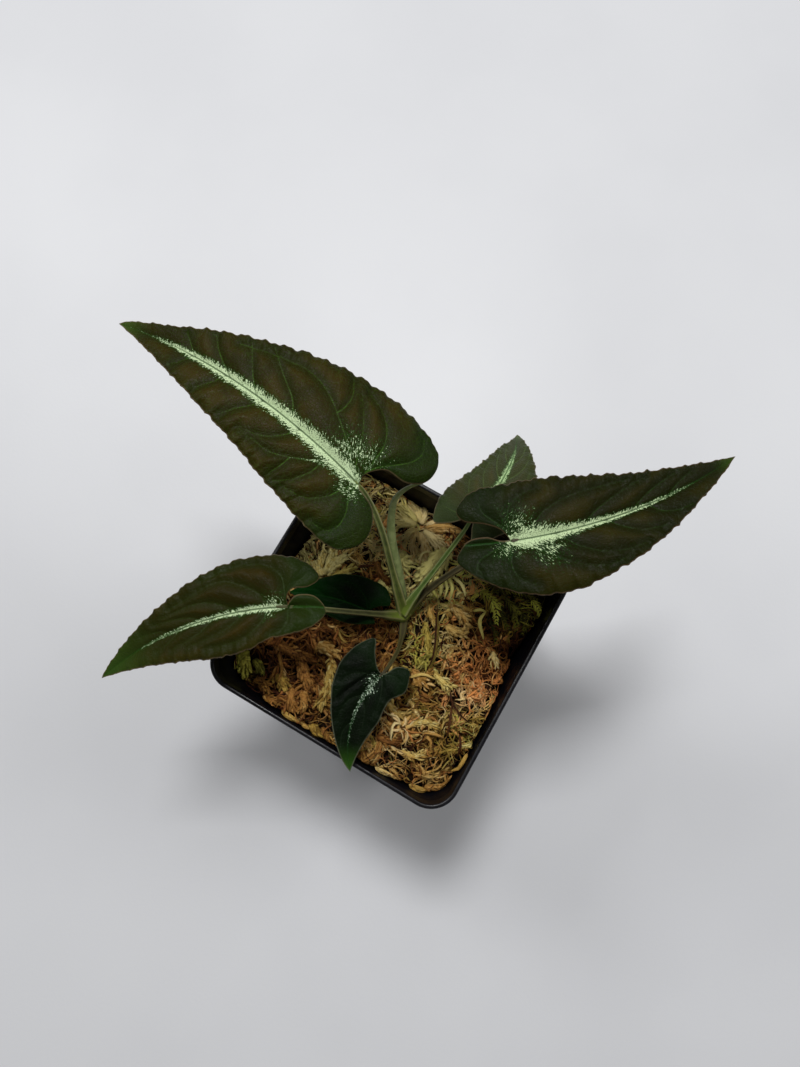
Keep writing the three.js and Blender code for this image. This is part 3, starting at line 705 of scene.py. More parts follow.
def bladePoint(leaf, u, v):
    # The rib is the sum of its forward directions; across it lies an arc that starts at
    # the fold's angle and turns by curl over the half width.
    steps = (np.arange(12) + 0.5) / 12
    rib = np.array(leaf["base"]) + bladeFrame(leaf, u[..., None] * steps)[0].mean(-2) * u[..., None]
    side, face = bladeFrame(leaf, u)[1:]
    start = np.radians(np.where(v > 0, leaf["fold"][0], leaf["fold"][1]))
    turn = np.radians(np.where(v > 0, leaf["curl"][0], leaf["curl"][1])) / leaf["halfWidth"]
    end = start + turn * np.abs(v)
    hand = np.sign(v)
    reach = (hand * (np.sin(end) - np.sin(start)) / turn)[..., None]
    rise = ((np.cos(start) - np.cos(end)) / turn)[..., None]
    tilt = (end * hand)[..., None]
    return rib + side * reach + face * rise, face * np.cos(tilt) - side * np.sin(tilt)


def veinField(u, v, lines):
    # Distance to the nearest vein in millimetres, and how far along that vein it is.
    nearest = np.full(u.shape, 99.0)
    share = np.zeros(u.shape)
    reach = []
    for line in lines:
        curve = smoothLine(line, 6)
        a, d = curve[:-1], np.diff(curve, axis=0)
        du, dv = u[..., None] - a[:, 0], v[..., None] - a[:, 1]
        t = np.clip((du * d[:, 0] + dv * d[:, 1]) / (d**2).sum(1), 0, 1)
        gap = np.hypot(du - t * d[:, 0], dv - t * d[:, 1])
        k = gap.argmin(-1)[..., None]
        gap = np.take_along_axis(gap, k, -1)[..., 0]
        place = (k[..., 0] + np.take_along_axis(t, k, -1)[..., 0]) / len(d)
        reach.append((gap, place))
        share = np.where(gap < nearest, place, share)
        nearest = np.minimum(gap, nearest)
    return nearest, share, reach


def stripeField(leaf, u, v, hand, lines, reach):
    # Distance from the rib over the stripe's half width, plus its thinning; the same along
    # the side veins that carry it. It is lower at the dusty spots.
    places, widths, thinning = np.array(leaf["stripe"]).T
    stripe = np.abs(v) / np.interp(u, places, widths) + np.interp(u, places, thinning, left=4)
    for number, width, length in leaf["side"]:
        line = leaf["veins"][number]
        if line in lines:
            gap, share = reach[lines.index(line)]
            run = share * lineLength(smoothLine(line, 6)) / length
            stripe = np.minimum(stripe, gap / np.maximum(width * (1 - run), 0.03) + 0.25 + run)
    for x, y, size in leaf["dust"]:
        if y * hand > 0:
            stripe = np.minimum(stripe, 1.12 + 0.5 * np.hypot(u - x, v - y) / size)
    return np.minimum(stripe, 6)


def toothed(turns):
    # A wave of uneven length and height, and a quick small one.
    height = 0.55 + 0.45 * np.sin(0.61 * turns + 1)
    return np.cos(turns + 0.8 * np.sin(0.37 * turns)) * height + 0.3 * np.cos(2.3 * turns + 1)


def halfBlade(leaf, half, hand):
    # Rows run from the tip down the rib and round the notch to the lobe; columns run out
    # to the margin. The lift is a puff between veins, grooves along them and an edge wave.
    notch = smoothLine([[0, 0], *half["notch"], half["lobe"]], 30, 0, half["margin"][-1])
    margin = smoothLine([[leaf["length"], 0], *half["margin"], half["lobe"]], 30, 0, half["notch"][-1])
    ribRows = round(leaf["length"] / blade["cell"])
    notchRows = max(4, round(lineLength(notch) / blade["cell"]))
    columns = round(0.95 * np.abs(np.array(half["margin"])[:, 1]).max() / blade["cell"])
    down, around = np.arange(ribRows + 1) / ribRows, np.arange(1, notchRows + 1) / notchRows
    rib = np.column_stack([leaf["length"] * (1 - down), np.zeros(ribRows + 1)])
    inner = np.vstack([rib, alongLine(notch, around)])
    run = np.append(leaf["length"] * down, leaf["length"] + lineLength(notch) * around)
    share = np.minimum(1, run / (leaf["length"] + lineLength(notch)))
    outer = alongLine(margin, share)
    inner[-1] = outer[-1] = half["lobe"]
    out = outer - inner
    width = np.linalg.norm(out, axis=1)[:, None]
    fade = np.sqrt(np.clip(np.sin(np.pi * share), 0, 1))[:, None]
    turns = 2 * np.pi * share[:, None] * leaf["waves"]
    outer = outer + out / np.maximum(width, 1e-6) * leaf["scallop"] * fade * toothed(turns)
    t = np.linspace(0, 1, columns + 1)
    u, v = (inner[:, None] + (outer - inner)[:, None] * t[:, None]).transpose(2, 0, 1)
    v[:ribRows + 1, 0] = 0
    away = np.abs(v)
    rim = (1 - t) * width
    lower = slice(ribRows + 1, None)
    rim[lower] = np.minimum(rim[lower], t * width[lower])
    lines = [line for line in leaf["veins"] if hand * line[-1][1] > -0.1 or hand * line[-2][1] > 0]
    gap, along, reach = veinField(u, v, lines)
    soft = np.clip(rim / blade["softEdge"], 0, 1) * np.clip(fade * 1.6, 0, 1)
    puffed = (1 - bell(gap, blade["veinReach"])) * (1 - bell(away, blade["ribReach"]))
    taper = np.clip(1.05 - u / leaf["length"], 0.1, 1)
    lift = leaf["puff"] * (puffed - 0.35) * soft * np.clip(width / 12, 0, 1)
    lift -= blade["veinDepth"] * (1 - 0.6 * along) * bell(gap, blade["veinWidth"]) * soft
    lift -= blade["groove"] * taper * bell(away, 0.5 + 0.7 * taper) * np.clip(rim / 1.5, 0, 1)
    lift += leaf["ripple"] * fade * (np.sin(turns) + 0.4 * np.sin(2.3 * turns + 2)) * t**3
    lift -= blade["droop"] * np.exp(-rim / 0.5) * np.clip(width / 3, 0, 1)
    lift[lower] -= half.get("tuck", 0.5) * np.exp(-t * width[lower] / 2) * np.sqrt(around)[:, None]
    for crease in half.get("creases", []):
        lift -= blade["crease"] * bell(veinField(u, v, [crease])[0], blade["veinWidth"]) * soft
    point, normal = bladePoint(leaf, u, v)
    top = point + normal * (lift + blade["thickness"] / 2)[..., None]
    ridge = blade["ridge"] * taper * bell(away, 0.35 + 0.75 * taper) * np.clip(rim / 2, 0, 1)
    ridge += blade["veinRidge"] * (1 - 0.6 * along) * bell(gap, blade["fineVein"]) * soft
    thick = blade["thickness"] * (0.55 + 0.45 * np.clip(rim / 1.2, 0, 1)) + ridge
    fields = {
        "stripe": stripeField(leaf, u, v, hand, lines, reach),
        "vein": np.clip(1 - gap / blade["fineVein"], 0, 1) * (1 - 0.3 * along),
        "rim": rim,
        "share": u / leaf["length"],
        "away": away,
        "puffed": puffed,
    }
    c, s = np.cos(np.radians(blade["lean"])), np.sin(np.radians(blade["lean"]))
    surface = np.stack([u * c + away * s, away * c - u * s], -1) / 100 + (hand < 0) * blade["apart"]
    return top, top - normal * thick[..., None], fields, surface, ribRows


def makeLeaf(name, materials):
    # Upper and lower sheets of both halves, joined round the margin by a rounded edge.
    leaf, sheets = leaves[name], []
    for hand, half in ((1, leaf["left"]), (-1, leaf["right"])):
        top, under, fields, surface, ribRows = halfBlade(leaf, half, hand)
        sheets += [(top, fields, surface, 0, hand < 0), (under, fields, surface, 1, hand > 0)]
        for column, inside, line in ((-1, -2, slice(0, None)), (0, 1, slice(ribRows, None))):
            high, low = top[line, column], under[line, column]
            swell = blade["edge"] * np.minimum(1, fields["rim"][line, inside] / 0.3)
            middle = (high + low) / 2 + directionOf(high - top[line, inside]) * swell[:, None]
            if column == 0:
                middle[0] = (high[0] + low[0]) / 2
            edge = {key: np.repeat(values[line, column][:, None], 3, 1) for key, values in fields.items()}
            edgeSurface, flip = np.repeat(surface[line, column][:, None], 3, 1), (hand < 0) != (column == 0)
            sheets.append((np.stack([high, middle, low], 1), edge, edgeSurface, 0, flip))
    faces, parts, count = [], [], 0
    for grid, fields, surface, part, flip in sheets:
        made = gridFaces(*grid.shape[:2], start=count)
        faces.append(made[:, ::-1] if flip else made)
        parts.append(np.full(len(made), part))
        count += grid[..., 0].size
    points = np.vstack([sheet[0].reshape(-1, 3) for sheet in sheets])
    surfaces = np.vstack([sheet[2].reshape(-1, 2) for sheet in sheets])
    faces = np.vstack(faces)
    first, joined, whole = weld(points, faces)
    fields = {key: np.concatenate([sheet[1][key].ravel() for sheet in sheets])[first] for key in fields}
    makePiece(name + "_blade", points[first], joined, materials, [name], fields,
              surfaces[faces[whole]].reshape(-1, 2), np.concatenate(parts)[whole])


leafTones = {
    "dark": {
        "deep": colour(38, 34, 8), "warm": colour(53, 43, 9), "green": colour(24, 38, 8),
        "vein": colour(60, 94, 26), "halo": colour(34, 68, 18), "pale": colour(202, 222, 176),
        "tip": colour(58, 80, 26), "margin": colour(104, 88, 62),
    },
    "brown": {
        "deep": colour(27, 26, 6), "warm": colour(43, 38, 7), "green": colour(18, 28, 6),
        "vein": colour(34, 60, 16), "halo": colour(26, 62, 16), "pale": colour(196, 216, 168),
        "tip": colour(52, 72, 20), "margin": colour(92, 74, 52),
    },
    "greyed": {
        "deep": colour(52, 54, 30), "warm": colour(66, 62, 34), "green": colour(50, 62, 34),
        "vein": colour(84, 104, 56), "halo": colour(48, 84, 34), "pale": colour(180, 208, 152),
        "tip": colour(80, 94, 56), "margin": colour(110, 100, 74),
    },
    # bottle: the leaf's own dark green with painted shade, near black from the base where leaf E lies in
    # shade under the leaves above, greening from three tenths along to the tip
    "bottle": {
        "deep": colour(5, 8, 3), "warm": colour(7, 13, 4), "green": colour(8, 34, 6),
        "vein": colour(18, 46, 14), "halo": colour(14, 50, 12), "pale": colour(150, 190, 140),
        "tip": colour(12, 56, 12), "margin": colour(40, 54, 26), "specular": 0.03,
        "tipFrom": 0.3,
    },
    "slate": {
        "deep": colour(8, 12, 6), "warm": colour(12, 17, 9), "green": colour(14, 28, 10),
        "vein": colour(30, 42, 26), "halo": colour(20, 52, 18), "pale": colour(196, 214, 190),
        "tip": colour(46, 80, 22), "margin": colour(96, 98, 78), "specular": 0.035,
        "tipFrom": 0.7, "speckle": 1.5,
    },
}
leafTones["dusky"] = {
    **leafTones["dark"], "vein": colour(42, 58, 22), "green": colour(30, 46, 12), "tip": colour(50, 76, 24),
    "tipFrom": 0.6,
}
undersideTones = {
    "green": colour(78, 92, 52), "flushed": colour(88, 76, 54), "veinlet": colour(108, 126, 74),
    "vein": colour(128, 146, 90), "rib": colour(130, 148, 90), "margin": colour(104, 88, 62),
}
leafFinish = {
    "roughness": 0.29, "specular": 0.055, "sheen": 0.004, "sheenTone": (0.8, 0.84, 0.72, 1),
    "sheenRoughness": 0.4,
}


def bladeMaterial(name, tones):
    # Pale where the stripe field plus streaky noise is under one, with a green halo round
    # it, on a brown-green ground that turns green along veins, in the lobes and at the tip.
    material, tree, shader = startMaterial(
        name, specular=tones.get("specular", leafFinish["specular"]), sheen=leafFinish["sheen"],
        sheenTone=leafFinish["sheenTone"], sheenRoughness=leafFinish["sheenRoughness"])
    place = surfaceOf(tree)
    stripe, vein, puffed, rim, share, away = (
        fieldOf(tree, field) for field in ("stripe", "vein", "puffed", "rim", "share", "away"))
    cloud = noiseOf(place, 9, 3)
    bulge = noiseOf(place, 42, 2)
    streak = noiseOf(place, 115, 2, 0.6, (0.8, 2.5, 1))
    speck = noiseOf(place, 300, 2, 0.6)
    fine = noiseOf(place, 900, 2)
    veinlets = cellsOf(place, 105)
    speckle = tones.get("speckle", 1.0)
    warmth = times(stepOf(cloud, 0.34, 0.62), stepOf(puffed, 0.1, 0.9, 0.25, 1))
    lobes = plus(stepOf(share, 0.1, -0.08), stepOf(rim, 5, 0.5, 0, 0.3))
    lobes = times(lobes, stepOf(cloud, 0.3, 0.6, 0.55, 1))
    noises = plus(swing(streak, 3.1 * speckle), swing(speck, 2 * speckle))
    ragged = plus(stripe, plus(noises, swing(bulge, 1.1)))
    ground = layered(
        tones["deep"],
        (warmth, tones["warm"]),
        (stepOf(puffed, 0.55, 0, 0, 0.32), tones["green"]),
        (mathOf("MINIMUM", lobes, 0.85), tones["green"]),
        (stepOf(veinlets, 0.09, 0, 0, 0.16), tones["vein"]),
        (stepOf(share, tones.get("tipFrom", 0.86), 1, 0, 0.9), tones["tip"]),
        (times(stepOf(vein, 0.36, 0.86, 0, 0.9), stepOf(bulge, 0.36, 0.6, 0.4, 1)), tones["vein"]),
        (stepOf(ragged, 1.75, 1.1, 0, 0.85), tones["halo"]),
        (times(stepOf(ragged, 1.1, 0.86), stepOf(speck, 0.64, 0.54, 0.3, 1)), tones["pale"]),
        (times(stepOf(away, 0.3, 0.1), stepOf(share, 0.95, 0.6, 0.2, 0.8)), tones["halo"]),
        (times(stepOf(vein, 0.35, 0.9), stepOf(stripe, 1.6, 0.8, 0, 0.75)), tones["halo"]),
        (stepOf(rim, 0.38, 0.1, 0, 0.7), tones["margin"]))
    rough = stepOf(speck, 0.3, 0.7, leafFinish["roughness"] - 0.06, leafFinish["roughness"] + 0.1)
    put(shader.inputs["Roughness"], rough)
    height = plus(times(stepOf(veinlets, 0, 0.16), 0.7), times(fine, 0.4))
    finishSkin(shader, ground, plus(height, times(streak, 0.5)), 0.00009, 0.9)
    return material


def undersideMaterial():
    # A paler, matt green with a faint purple flush and pale raised veins.
    material, tree, shader = startMaterial("leaf underside", roughness=0.6, specular=0.25)
    place, tones = surfaceOf(tree), undersideTones
    veinlets = cellsOf(place, 105)
    ground = layered(
        tones["green"],
        (stepOf(noiseOf(place, 22, 4), 0.35, 0.65), tones["flushed"]),
        (stepOf(veinlets, 0.1, 0, 0, 0.3), tones["veinlet"]),
        (times(fieldOf(tree, "vein"), 0.75), tones["vein"]),
        (stepOf(fieldOf(tree, "away"), 1.3, 0.4, 0, 0.8), tones["rib"]),
        (stepOf(fieldOf(tree, "rim"), 0.5, 0.15, 0, 0.6), tones["margin"]))
    height = plus(stepOf(veinlets, 0.14, 0), times(noiseOf(place, 700, 2), 0.4))
    finishSkin(shader, ground, height, 0.0001, 0.7)
    return material


underside = undersideMaterial()
for name, skin, tones, slot in (
        ("leaf_a", "leaf olive velvet", "dark", "leaf_dark"),
        ("leaf_b", "leaf brown velvet", "brown", "leaf_dark"),
        ("leaf_c", "leaf dusky velvet", "dusky", "leaf_dark"),
        ("leaf_d", "leaf grey olive", "greyed", "leaf_dark"),
        # leaf E's near-black ground is partly painted shade
        ("leaf_e", "leaf bottle green with painted shade", "bottle", "leaf_green"),
        ("leaf_f", "leaf slate green", "slate", "leaf_dark")):
    makeLeaf(name, [bladeMaterial(skin, leafTones[tones]), underside])


# Stalks: winged tubes from the crown to each blade, and the rolled new leaf.

# Each stalk's side tone is its body tone in painted shade, partly its own browner flank.
stalks = {
    "petiole_a": {
        "route": [[2.1, 5.2, 80], [-1.6, 8.6, 87.5], [-7.6, 14.5, 98], [-13.1, 19.9, 108.5],
                  [-18.6, 24, 117.5], [-22.4, 25.8, 124], [-24.2, 26.2, 125.6], [-27, 27, 126.1]],
        "radius": [1.5, 1.15, 1.05, 0.6], "wings": 0.3, "sheath": 13, "flare": 0.45,
        # wing: a pale edge line, partly the wing's own pale margin and partly a painted highlight
        "body": colour(102, 116, 42), "side": colour(48, 64, 20), "paleWingAndHighlight": colour(176, 172, 114),
    },
    "petiole_b": {
        "route": [[2.4, 4.7, 79], [5.1, 13.2, 86], [9.1, 20.6, 95], [12.7, 25.6, 102.5],
                  [16.6, 30.1, 110.5], [19.7, 33.6, 118.2], [21.2, 35.1, 119.9], [23.8, 37.1, 120.1]],
        "radius": [1.4, 1.05, 0.95, 0.55], "wings": 0.2, "sheath": 9, "flare": 0.35,
        "body": colour(68, 62, 32), "side": colour(36, 32, 16), "paleWingAndHighlight": colour(112, 102, 68),
    },
    "petiole_c": {
        "route": [[2.7, 4.1, 79], [-2.5, 1, 84], [-11.8, -4.2, 92.5], [-19.4, -8.5, 100.2],
                  [-25.2, -11.8, 105.2], [-27.6, -13, 106.1], [-30, -14.4, 106.3]],
        "radius": [1.3, 0.95, 0.85, 0.5], "wings": 0.24, "sheath": 6.5, "flare": 0.45,
        "body": colour(76, 80, 38), "side": colour(46, 46, 21), "paleWingAndHighlight": colour(122, 118, 78),
    },
    "petiole_d": {
        "route": [[2.1, 5.2, 81.5], [3, 11.4, 87.5], [4.6, 20, 93], [6.2, 28.5, 99.5],
                  [7.2, 34.6, 104.6], [7.4, 37.9, 106.9], [7.7, 40.2, 105.6]],
        "radius": [1.25, 0.9, 0.8, 0.5], "wings": 0.34, "sheath": 8.5, "flare": 0.45,
        "body": colour(94, 122, 50), "side": colour(52, 76, 26), "paleWingAndHighlight": colour(170, 174, 116),
    },
    "petiole_e": {
        "route": [[2.1, 4, 77], [-1, 3, 78.8], [-4.6, 1.2, 81.4], [-7.6, -0.6, 84], [-9.6, -0.9, 84.2]],
        "radius": [1.1, 0.75, 0.6, 0.45], "wings": 0.2, "sheath": 4.6, "flare": 0.3,
        "body": colour(76, 80, 40), "side": colour(54, 48, 26), "paleWingAndHighlight": colour(112, 108, 68),
    },
    "petiole_f": {
        "route": [[3.3, 3, 78], [5.4, -1.6, 81], [7, -7.2, 85.7], [7.1, -12.2, 89.8], [6.8, -15.4, 91.9],
                  [6.1, -17.8, 92.2]],
        "radius": [1.1, 0.75, 0.65, 0.45], "wings": 0.15, "sheath": 5, "flare": 0.1,
        "body": colour(62, 58, 24), "side": colour(44, 34, 16), "paleWingAndHighlight": colour(92, 88, 44),
        "foot": colour(66, 60, 28),
    },
}
stalkShape = {
    "ring": 0.5,
    "sides": 28,
    "wingsAt": (50, 130),  # degrees up from the side
    "wingWidth": 11,
    "channel": 0.28,
    "channelWidth": 24,
    "cover": 0.32,  # of the sheath
    "crown": colour(120, 138, 46),
}


def sweepTube(line, radius, angle):
    # Rings round a line: the first direction is beside it and level, the second above it.
    along = directionOf(np.gradient(line, axis=0))
    side = directionOf(np.cross(along, [0, 0, 1]))
    above = np.cross(side, along)
    ring = np.cos(angle)[..., None] * side[:, None] + np.sin(angle)[..., None] * above[:, None]
    tube = line[:, None] + radius[..., None] * ring
    foot, end = (np.repeat(point[None, None], tube.shape[1], 1) for point in (line[0], line[-1]))
    return np.concatenate([foot, tube, end])


def ringSurface(rings, sides, length, girth):
    # Corner coordinates for a closed tube: along it and round it, both in decimetres.
    r, c = np.meshgrid(np.arange(rings - 1), np.arange(sides), indexing="ij")
    step, part = length / (rings - 1) / 100, girth / sides / 100
    spot = lambda a, b: np.stack([a * step, b * part], -1).reshape(-1, 1, 2)
    first, second, third, fourth = spot(r, c), spot(r, c + 1), spot(r + 1, c + 1), spot(r + 1, c)
    near, far = np.concatenate([third, second, first], 1), np.concatenate([fourth, third, first], 1)
    return np.concatenate([near, far])


def tubeAlong(tube, step, sides):
    # Rings a step apart on a smooth route: their middles, how far along it they are, a
    # radius that passes smoothly through the four given, and the angles of their points.
    curve = smoothLine(tube["route"], 30)
    share = np.linspace(0, 1, round(lineLength(curve) / step))
    radii = smoothLine(np.column_stack([np.linspace(0, 1, 4), tube["radius"]]), 20, 0)
    radius = np.interp(share, radii[:, 0], radii[:, 1])[:, None]
    angle = fullTurn(sides) + np.zeros((len(share), 1))
    return alongLine(curve, share), share[:, None] * lineLength(curve), radius, angle


def makeTube(name, line, radius, angle, fields, material, node):
    # A swept tube, closed at both ends, with its fields carried on to the ends.
    tube = sweepTube(line, radius, angle)
    rings, sides = tube.shape[:2]
    points = tube.reshape(-1, 3)
    first, joined, whole = weld(points, gridFaces(rings, sides, closed=True)[:, ::-1])
    corners = ringSurface(rings, sides, lineLength(line), 6)[whole].reshape(-1, 2)
    fields = {key: np.pad(values, ((1, 1), (0, 0)), "edge").ravel()[first] for key, values in fields.items()}
    makePiece(name, points[first], joined, [material], [node], fields, corners)


def stalkMaterial(name, body, side, paleWingAndHighlight, crown):
    # Fine lengthwise streaks; the side tone below and in the top channel, partly painted shade;
    # pale along the wings, partly a painted highlight; yellow-green at the crown.
    material, tree, shader = startMaterial(name, roughness=0.4, specular=0.36, sheen=0.04)
    place = surfaceOf(tree)
    streak = noiseOf(place, 90, 3, 0.6, (0.35, 9, 1))
    tone = layered(
        side,
        # body tone on the lit top over the side tone, which is partly painted shade below and in the channel
        (fieldOf(tree, "litTop"), body),
        (stepOf(streak, 0.48, 0.72, 0, 0.35), paleWingAndHighlight),
        (stepOf(noiseOf(place, 40, 3), 0.6, 0.38, 0, 0.45), side),
        (stepOf(noiseOf(place, 200, 2, 0.6, (0.7, 2, 1)), 0.42, 0.3, 0, 0.4), side),
        (stepOf(fieldOf(tree, "run"), 11, 0.5, 0, 0.85), crown),
        # pale line along the wings, partly a painted highlight
        (fieldOf(tree, "paleWingAndHighlight"), paleWingAndHighlight))
    finishSkin(shader, tone, streak, 0.00018, 0.8)
    return material


def makeStalk(name, stalk):
    # Radius x (1 + flare at the foot + two thin wings - a channel between them + fine ribs),
    # and a little more over the sheath.
    line, run, radius, angle = tubeAlong(stalk, stalkShape["ring"], stalkShape["sides"])
    fade = np.clip((run[-1] - run) / 6, 0, 1)
    hill = lambda centre, width: bell(angle - np.radians(centre), np.radians(width))
    wings = sum(hill(centre, stalkShape["wingWidth"]) for centre in stalkShape["wingsAt"]) * fade
    channel = stalkShape["channel"] * hill(90, stalkShape["channelWidth"]) * fade
    shape = 1 + stalk["flare"] * np.exp(-run / 6) + stalk["wings"] * wings - channel
    shape = shape + 0.02 * np.cos(9 * angle)
    bumps = 1 + 0.03 * np.sin(run / 2.3 + 2 * np.sin(angle))
    cover = stalkShape["cover"] * np.clip((stalk["sheath"] + 3 - run) / 3, 0, 1)
    fields = {
        "paleWingAndHighlight": np.clip(wings, 0, 1) ** 2 * (0.3 + 0.6 * fade),
        # body tone on the lit top; the side tone below and in the channel is partly painted shade
        "litTop": np.clip(0.6 + 0.6 * np.sin(angle) - 0.9 * hill(90, 16), 0, 1),
        "run": run + 0 * angle,
    }
    crown = stalk.get("foot", stalkShape["crown"])
    material = stalkMaterial(name + " skin", stalk["body"], stalk["side"], stalk["paleWingAndHighlight"], crown)
    radius = radius * shape * bumps + cover
    makeTube(name + "_stalk", line, radius, angle, fields, material, name)


for name, stalk in stalks.items():
    makeStalk(name, stalk)

newLeaf = {
    "route": [[2.1, 5.2, 80], [-1.6, 10.4, 86.4], [-6.5, 16.1, 92.5], [-10.9, 21, 97.6],
              [-14.4, 27, 104.4], [-15.3, 31.4, 109.6], [-13, 35.5, 113.6], [-9.8, 38.2, 116]],
    "radius": [1.25, 1.5, 1.15, 0.3],
    "ring": 0.4,
    "sides": 40,
    "lap": 0.22,  # step of the rolled edge
    "twist": 2.4,
    "body": colour(146, 158, 98),
    "shade": colour(94, 110, 56),
    # seam: the pale rolled edge, partly a painted highlight
    "seam": colour(186, 184, 142),
}


def makeNewLeaf():
    # A rolled blade: the radius grows by the lap once round, and the seam winds up slowly.
    line, run, radius, angle = tubeAlong(newLeaf, newLeaf["ring"], newLeaf["sides"])
    place = ((angle + newLeaf["twist"] * run / run[-1]) / (2 * np.pi) + 0.15) % 1
    opened = np.clip(run / 10 - 0.4, 0, 1)
    shape = 1 + newLeaf["lap"] * opened * (place - 0.5) + 0.35 * np.exp(-run / 5)
    shape = shape + 0.02 * np.sin(run * 1.3 + 5 * angle)
    fields = {
        "paleWingAndHighlight": bell((place + 0.03) % 1 - 0.985, 0.03) * opened,
        # body tone on the lit top; the shade tone below is painted shade
        "litTop": np.clip(0.55 + 0.55 * np.sin(angle + 0.6), 0, 1),
        "run": run + 0 * angle,
    }
    material = stalkMaterial(
        "new leaf skin", newLeaf["body"], newLeaf["shade"], newLeaf["seam"], stalkShape["crown"])
    makeTube("new_leaf_roll", line, radius * shape, angle, fields, material, "new_leaf")


makeNewLeaf()


stemCore = {
    "route": [[2.6, 4.2, 46], [2.3, 4, 62], [2.6, 4.2, 76], [2.3, 4.6, 81.5]],
    "radius": [1.9, 2.3, 2.6, 2.1],
    "ring": 0.8,
    "sides": 20,
    # turn in degrees, height of its start and reach of each root
    "roots": [(10.7, 66, 16.7), (72.8, 62.6, 17.1), (137.9, 59.2, 16.8), (181.7, 55.8, 16.7),
              (252.8, 52.4, 16.2), (310.1, 49, 18.9)],
    "rootMiddle": (2.3, 4),
    "rootBend": [(0, 0), (0.45, -4), (0.85, -13)],  # share of the reach, and how far down
    "rootRadius": [1.1, 1, 0.8, 0.45],
    "rootFoot": 14,
    "greens": [colour(98, 112, 38), colour(124, 134, 54)],
    "browns": [colour(92, 70, 42), colour(124, 100, 62)],
}


def stemMaterial():
    # Green above the moss and brown below it, both in patches.
    material, tree, shader = startMaterial("stem green", roughness=0.45, specular=0.35)
    place = objectOf(tree)
    height = tree.nodes.new("ShaderNodeSeparateXYZ")
    put(height.inputs[0], place)
    patch = noiseOf(place, 420, 3)
    patches = stepOf(patch, 0.4, 0.62)
    green, brown = (mixOf(patches, *stemCore[key]) for key in ("greens", "browns"))
    tone = mixOf(stepOf(height.outputs[2], 0.074, 0.079), brown, green)
    finishSkin(shader, tone, patch, 0.0003, 0.6)
    return material


def makeStem():
    # The stem and its roots: each root runs out, bends at the knee and turns down.
    routes = [(stemCore["route"], stemCore["radius"])]
    x, y = stemCore["rootMiddle"]
    for turn, top, reach in stemCore["roots"]:
        c, s = reach * np.cos(np.radians(turn)), reach * np.sin(np.radians(turn))
        spots = stemCore["rootBend"] + [(1, 0.75 * (stemCore["rootFoot"] - top))]
        route = [[x + share * c, y + share * s, top + down] for share, down in spots]
        routes.append((route, stemCore["rootRadius"]))
    points, faces, count = [], [], 0
    for route, radius in routes:
        curve = smoothLine(route, 20)
        share = np.linspace(0, 1, round(lineLength(curve) / stemCore["ring"]))
        size = np.interp(share, np.linspace(0, 1, 4), radius)[:, None]
        angle = fullTurn(stemCore["sides"]) + np.zeros((len(share), 1))
        lean = alongLine(curve, share) + np.array([0, 0.001, 0]) * share[:, None]
        tube = sweepTube(lean, size * (1 + 0.04 * np.sin(3 * angle + 9 * share[:, None])), angle)
        faces.append(gridFaces(*tube.shape[:2], closed=True, start=count)[:, ::-1])
        points.append(tube.reshape(-1, 3))
        count += len(points[-1])
    points = np.vstack(points)
    first, joined = weld(points, np.vstack(faces))[:2]
    makePiece("stem_core", points[first], joined, [stemMaterial()], ["stem_with_roots"])


makeStem()


# Moss: a dark bed, and thousands of small branches lying over it.

moss = {
    "level": 78,
    # x, y, rise and reach of each hollow and mound
    "dips": [[-37, -37, -9, 10], [-43, 12, -10, 14], [-36, 36, -8, 12], [-10, 44, -10, 12],
             [12, 44, -10, 12], [36, 40, -9, 12], [42, 12, -6, 10], [42, -41, -4, 8],
             [-14, -42, 4, 14], [12, -40, 4.5, 15], [40, -18, 3, 12], [24, 0, 2, 10], [0, 4, -3.5, 10]],
    "spokes": 220,
    "rings": 70,
    "sink": 2.4,  # how far the bed lies under the branches
    "lump": 0.45,
    "gap": 0.4,  # to the pot's wall
    "wallTop": 74,
    "wallRows": (2.3, 14, 40, 60),
    "dark": colour(20, 12, 6),
    "brown": colour(66, 42, 18),
}


def bedHeight(x, y):
    # A level plus rise x exp(-(distance / reach)^2) for each hollow and mound.
    height = np.full(np.shape(x), float(moss["level"]))
    for dx, dy, rise, reach in moss["dips"]:
        height = height + rise * bell(np.hypot(x - dx, y - dy), reach)
    return height


def outlineAt(angle, half, corner):
    # Where a ray from the middle meets a rounded square.
    c, s = np.abs(np.cos(angle)), np.abs(np.sin(angle))
    flat = half / np.maximum(c, s)
    inner = half - corner
    b = inner * (c + s)
    rounded = b + np.sqrt(np.maximum(b**2 - 2 * inner**2 + corner**2, 0))
    return np.where(flat * np.minimum(c, s) > inner, rounded, flat)


def keepInside(points, gap):
    # Points past the inner wall less the gap are moved back along the wall's own direction.
    half, corner = innerAt(points[..., 2])
    half, corner = half - gap, np.maximum(corner - gap, 0.5)
    q = np.abs(points[..., :2]) - (half - corner)[..., None]
    outer = np.maximum(q, 0)
    reach = np.linalg.norm(outer, axis=-1)
    past = reach - corner
    flat = (reach[..., None] > 1e-9) * outer / np.maximum(reach, 1e-9)[..., None]
    moved = points.copy()
    moved[..., :2] -= np.where(past > 0, past, 0)[..., None] * flat * np.sign(points[..., :2])
    return moved


def lumps(x, y):
    # A sum of slow and quick waves in crossed directions.
    return (np.sin(0.9 * x + 1.3 * np.sin(0.5 * y)) * np.cos(0.8 * y + np.sin(0.4 * x))
            + 0.5 * np.sin(2.1 * x - 1.7 * y) + 0.35 * np.sin(3.3 * y + 2.2 * x + np.sin(x)))


def bedMaterial():
    # Dark, with browner fibres.
    material, tree, shader = startMaterial("moss bed", roughness=0.85, specular=0.2)
    fibre = noiseOf(objectOf(tree), 700, 5, 0.65, (1, 3, 1))
    tone = mixOf(stepOf(fibre, 0.4, 0.68), moss["dark"], moss["brown"])
    finishSkin(shader, tone, fibre, 0.0008)
    return material


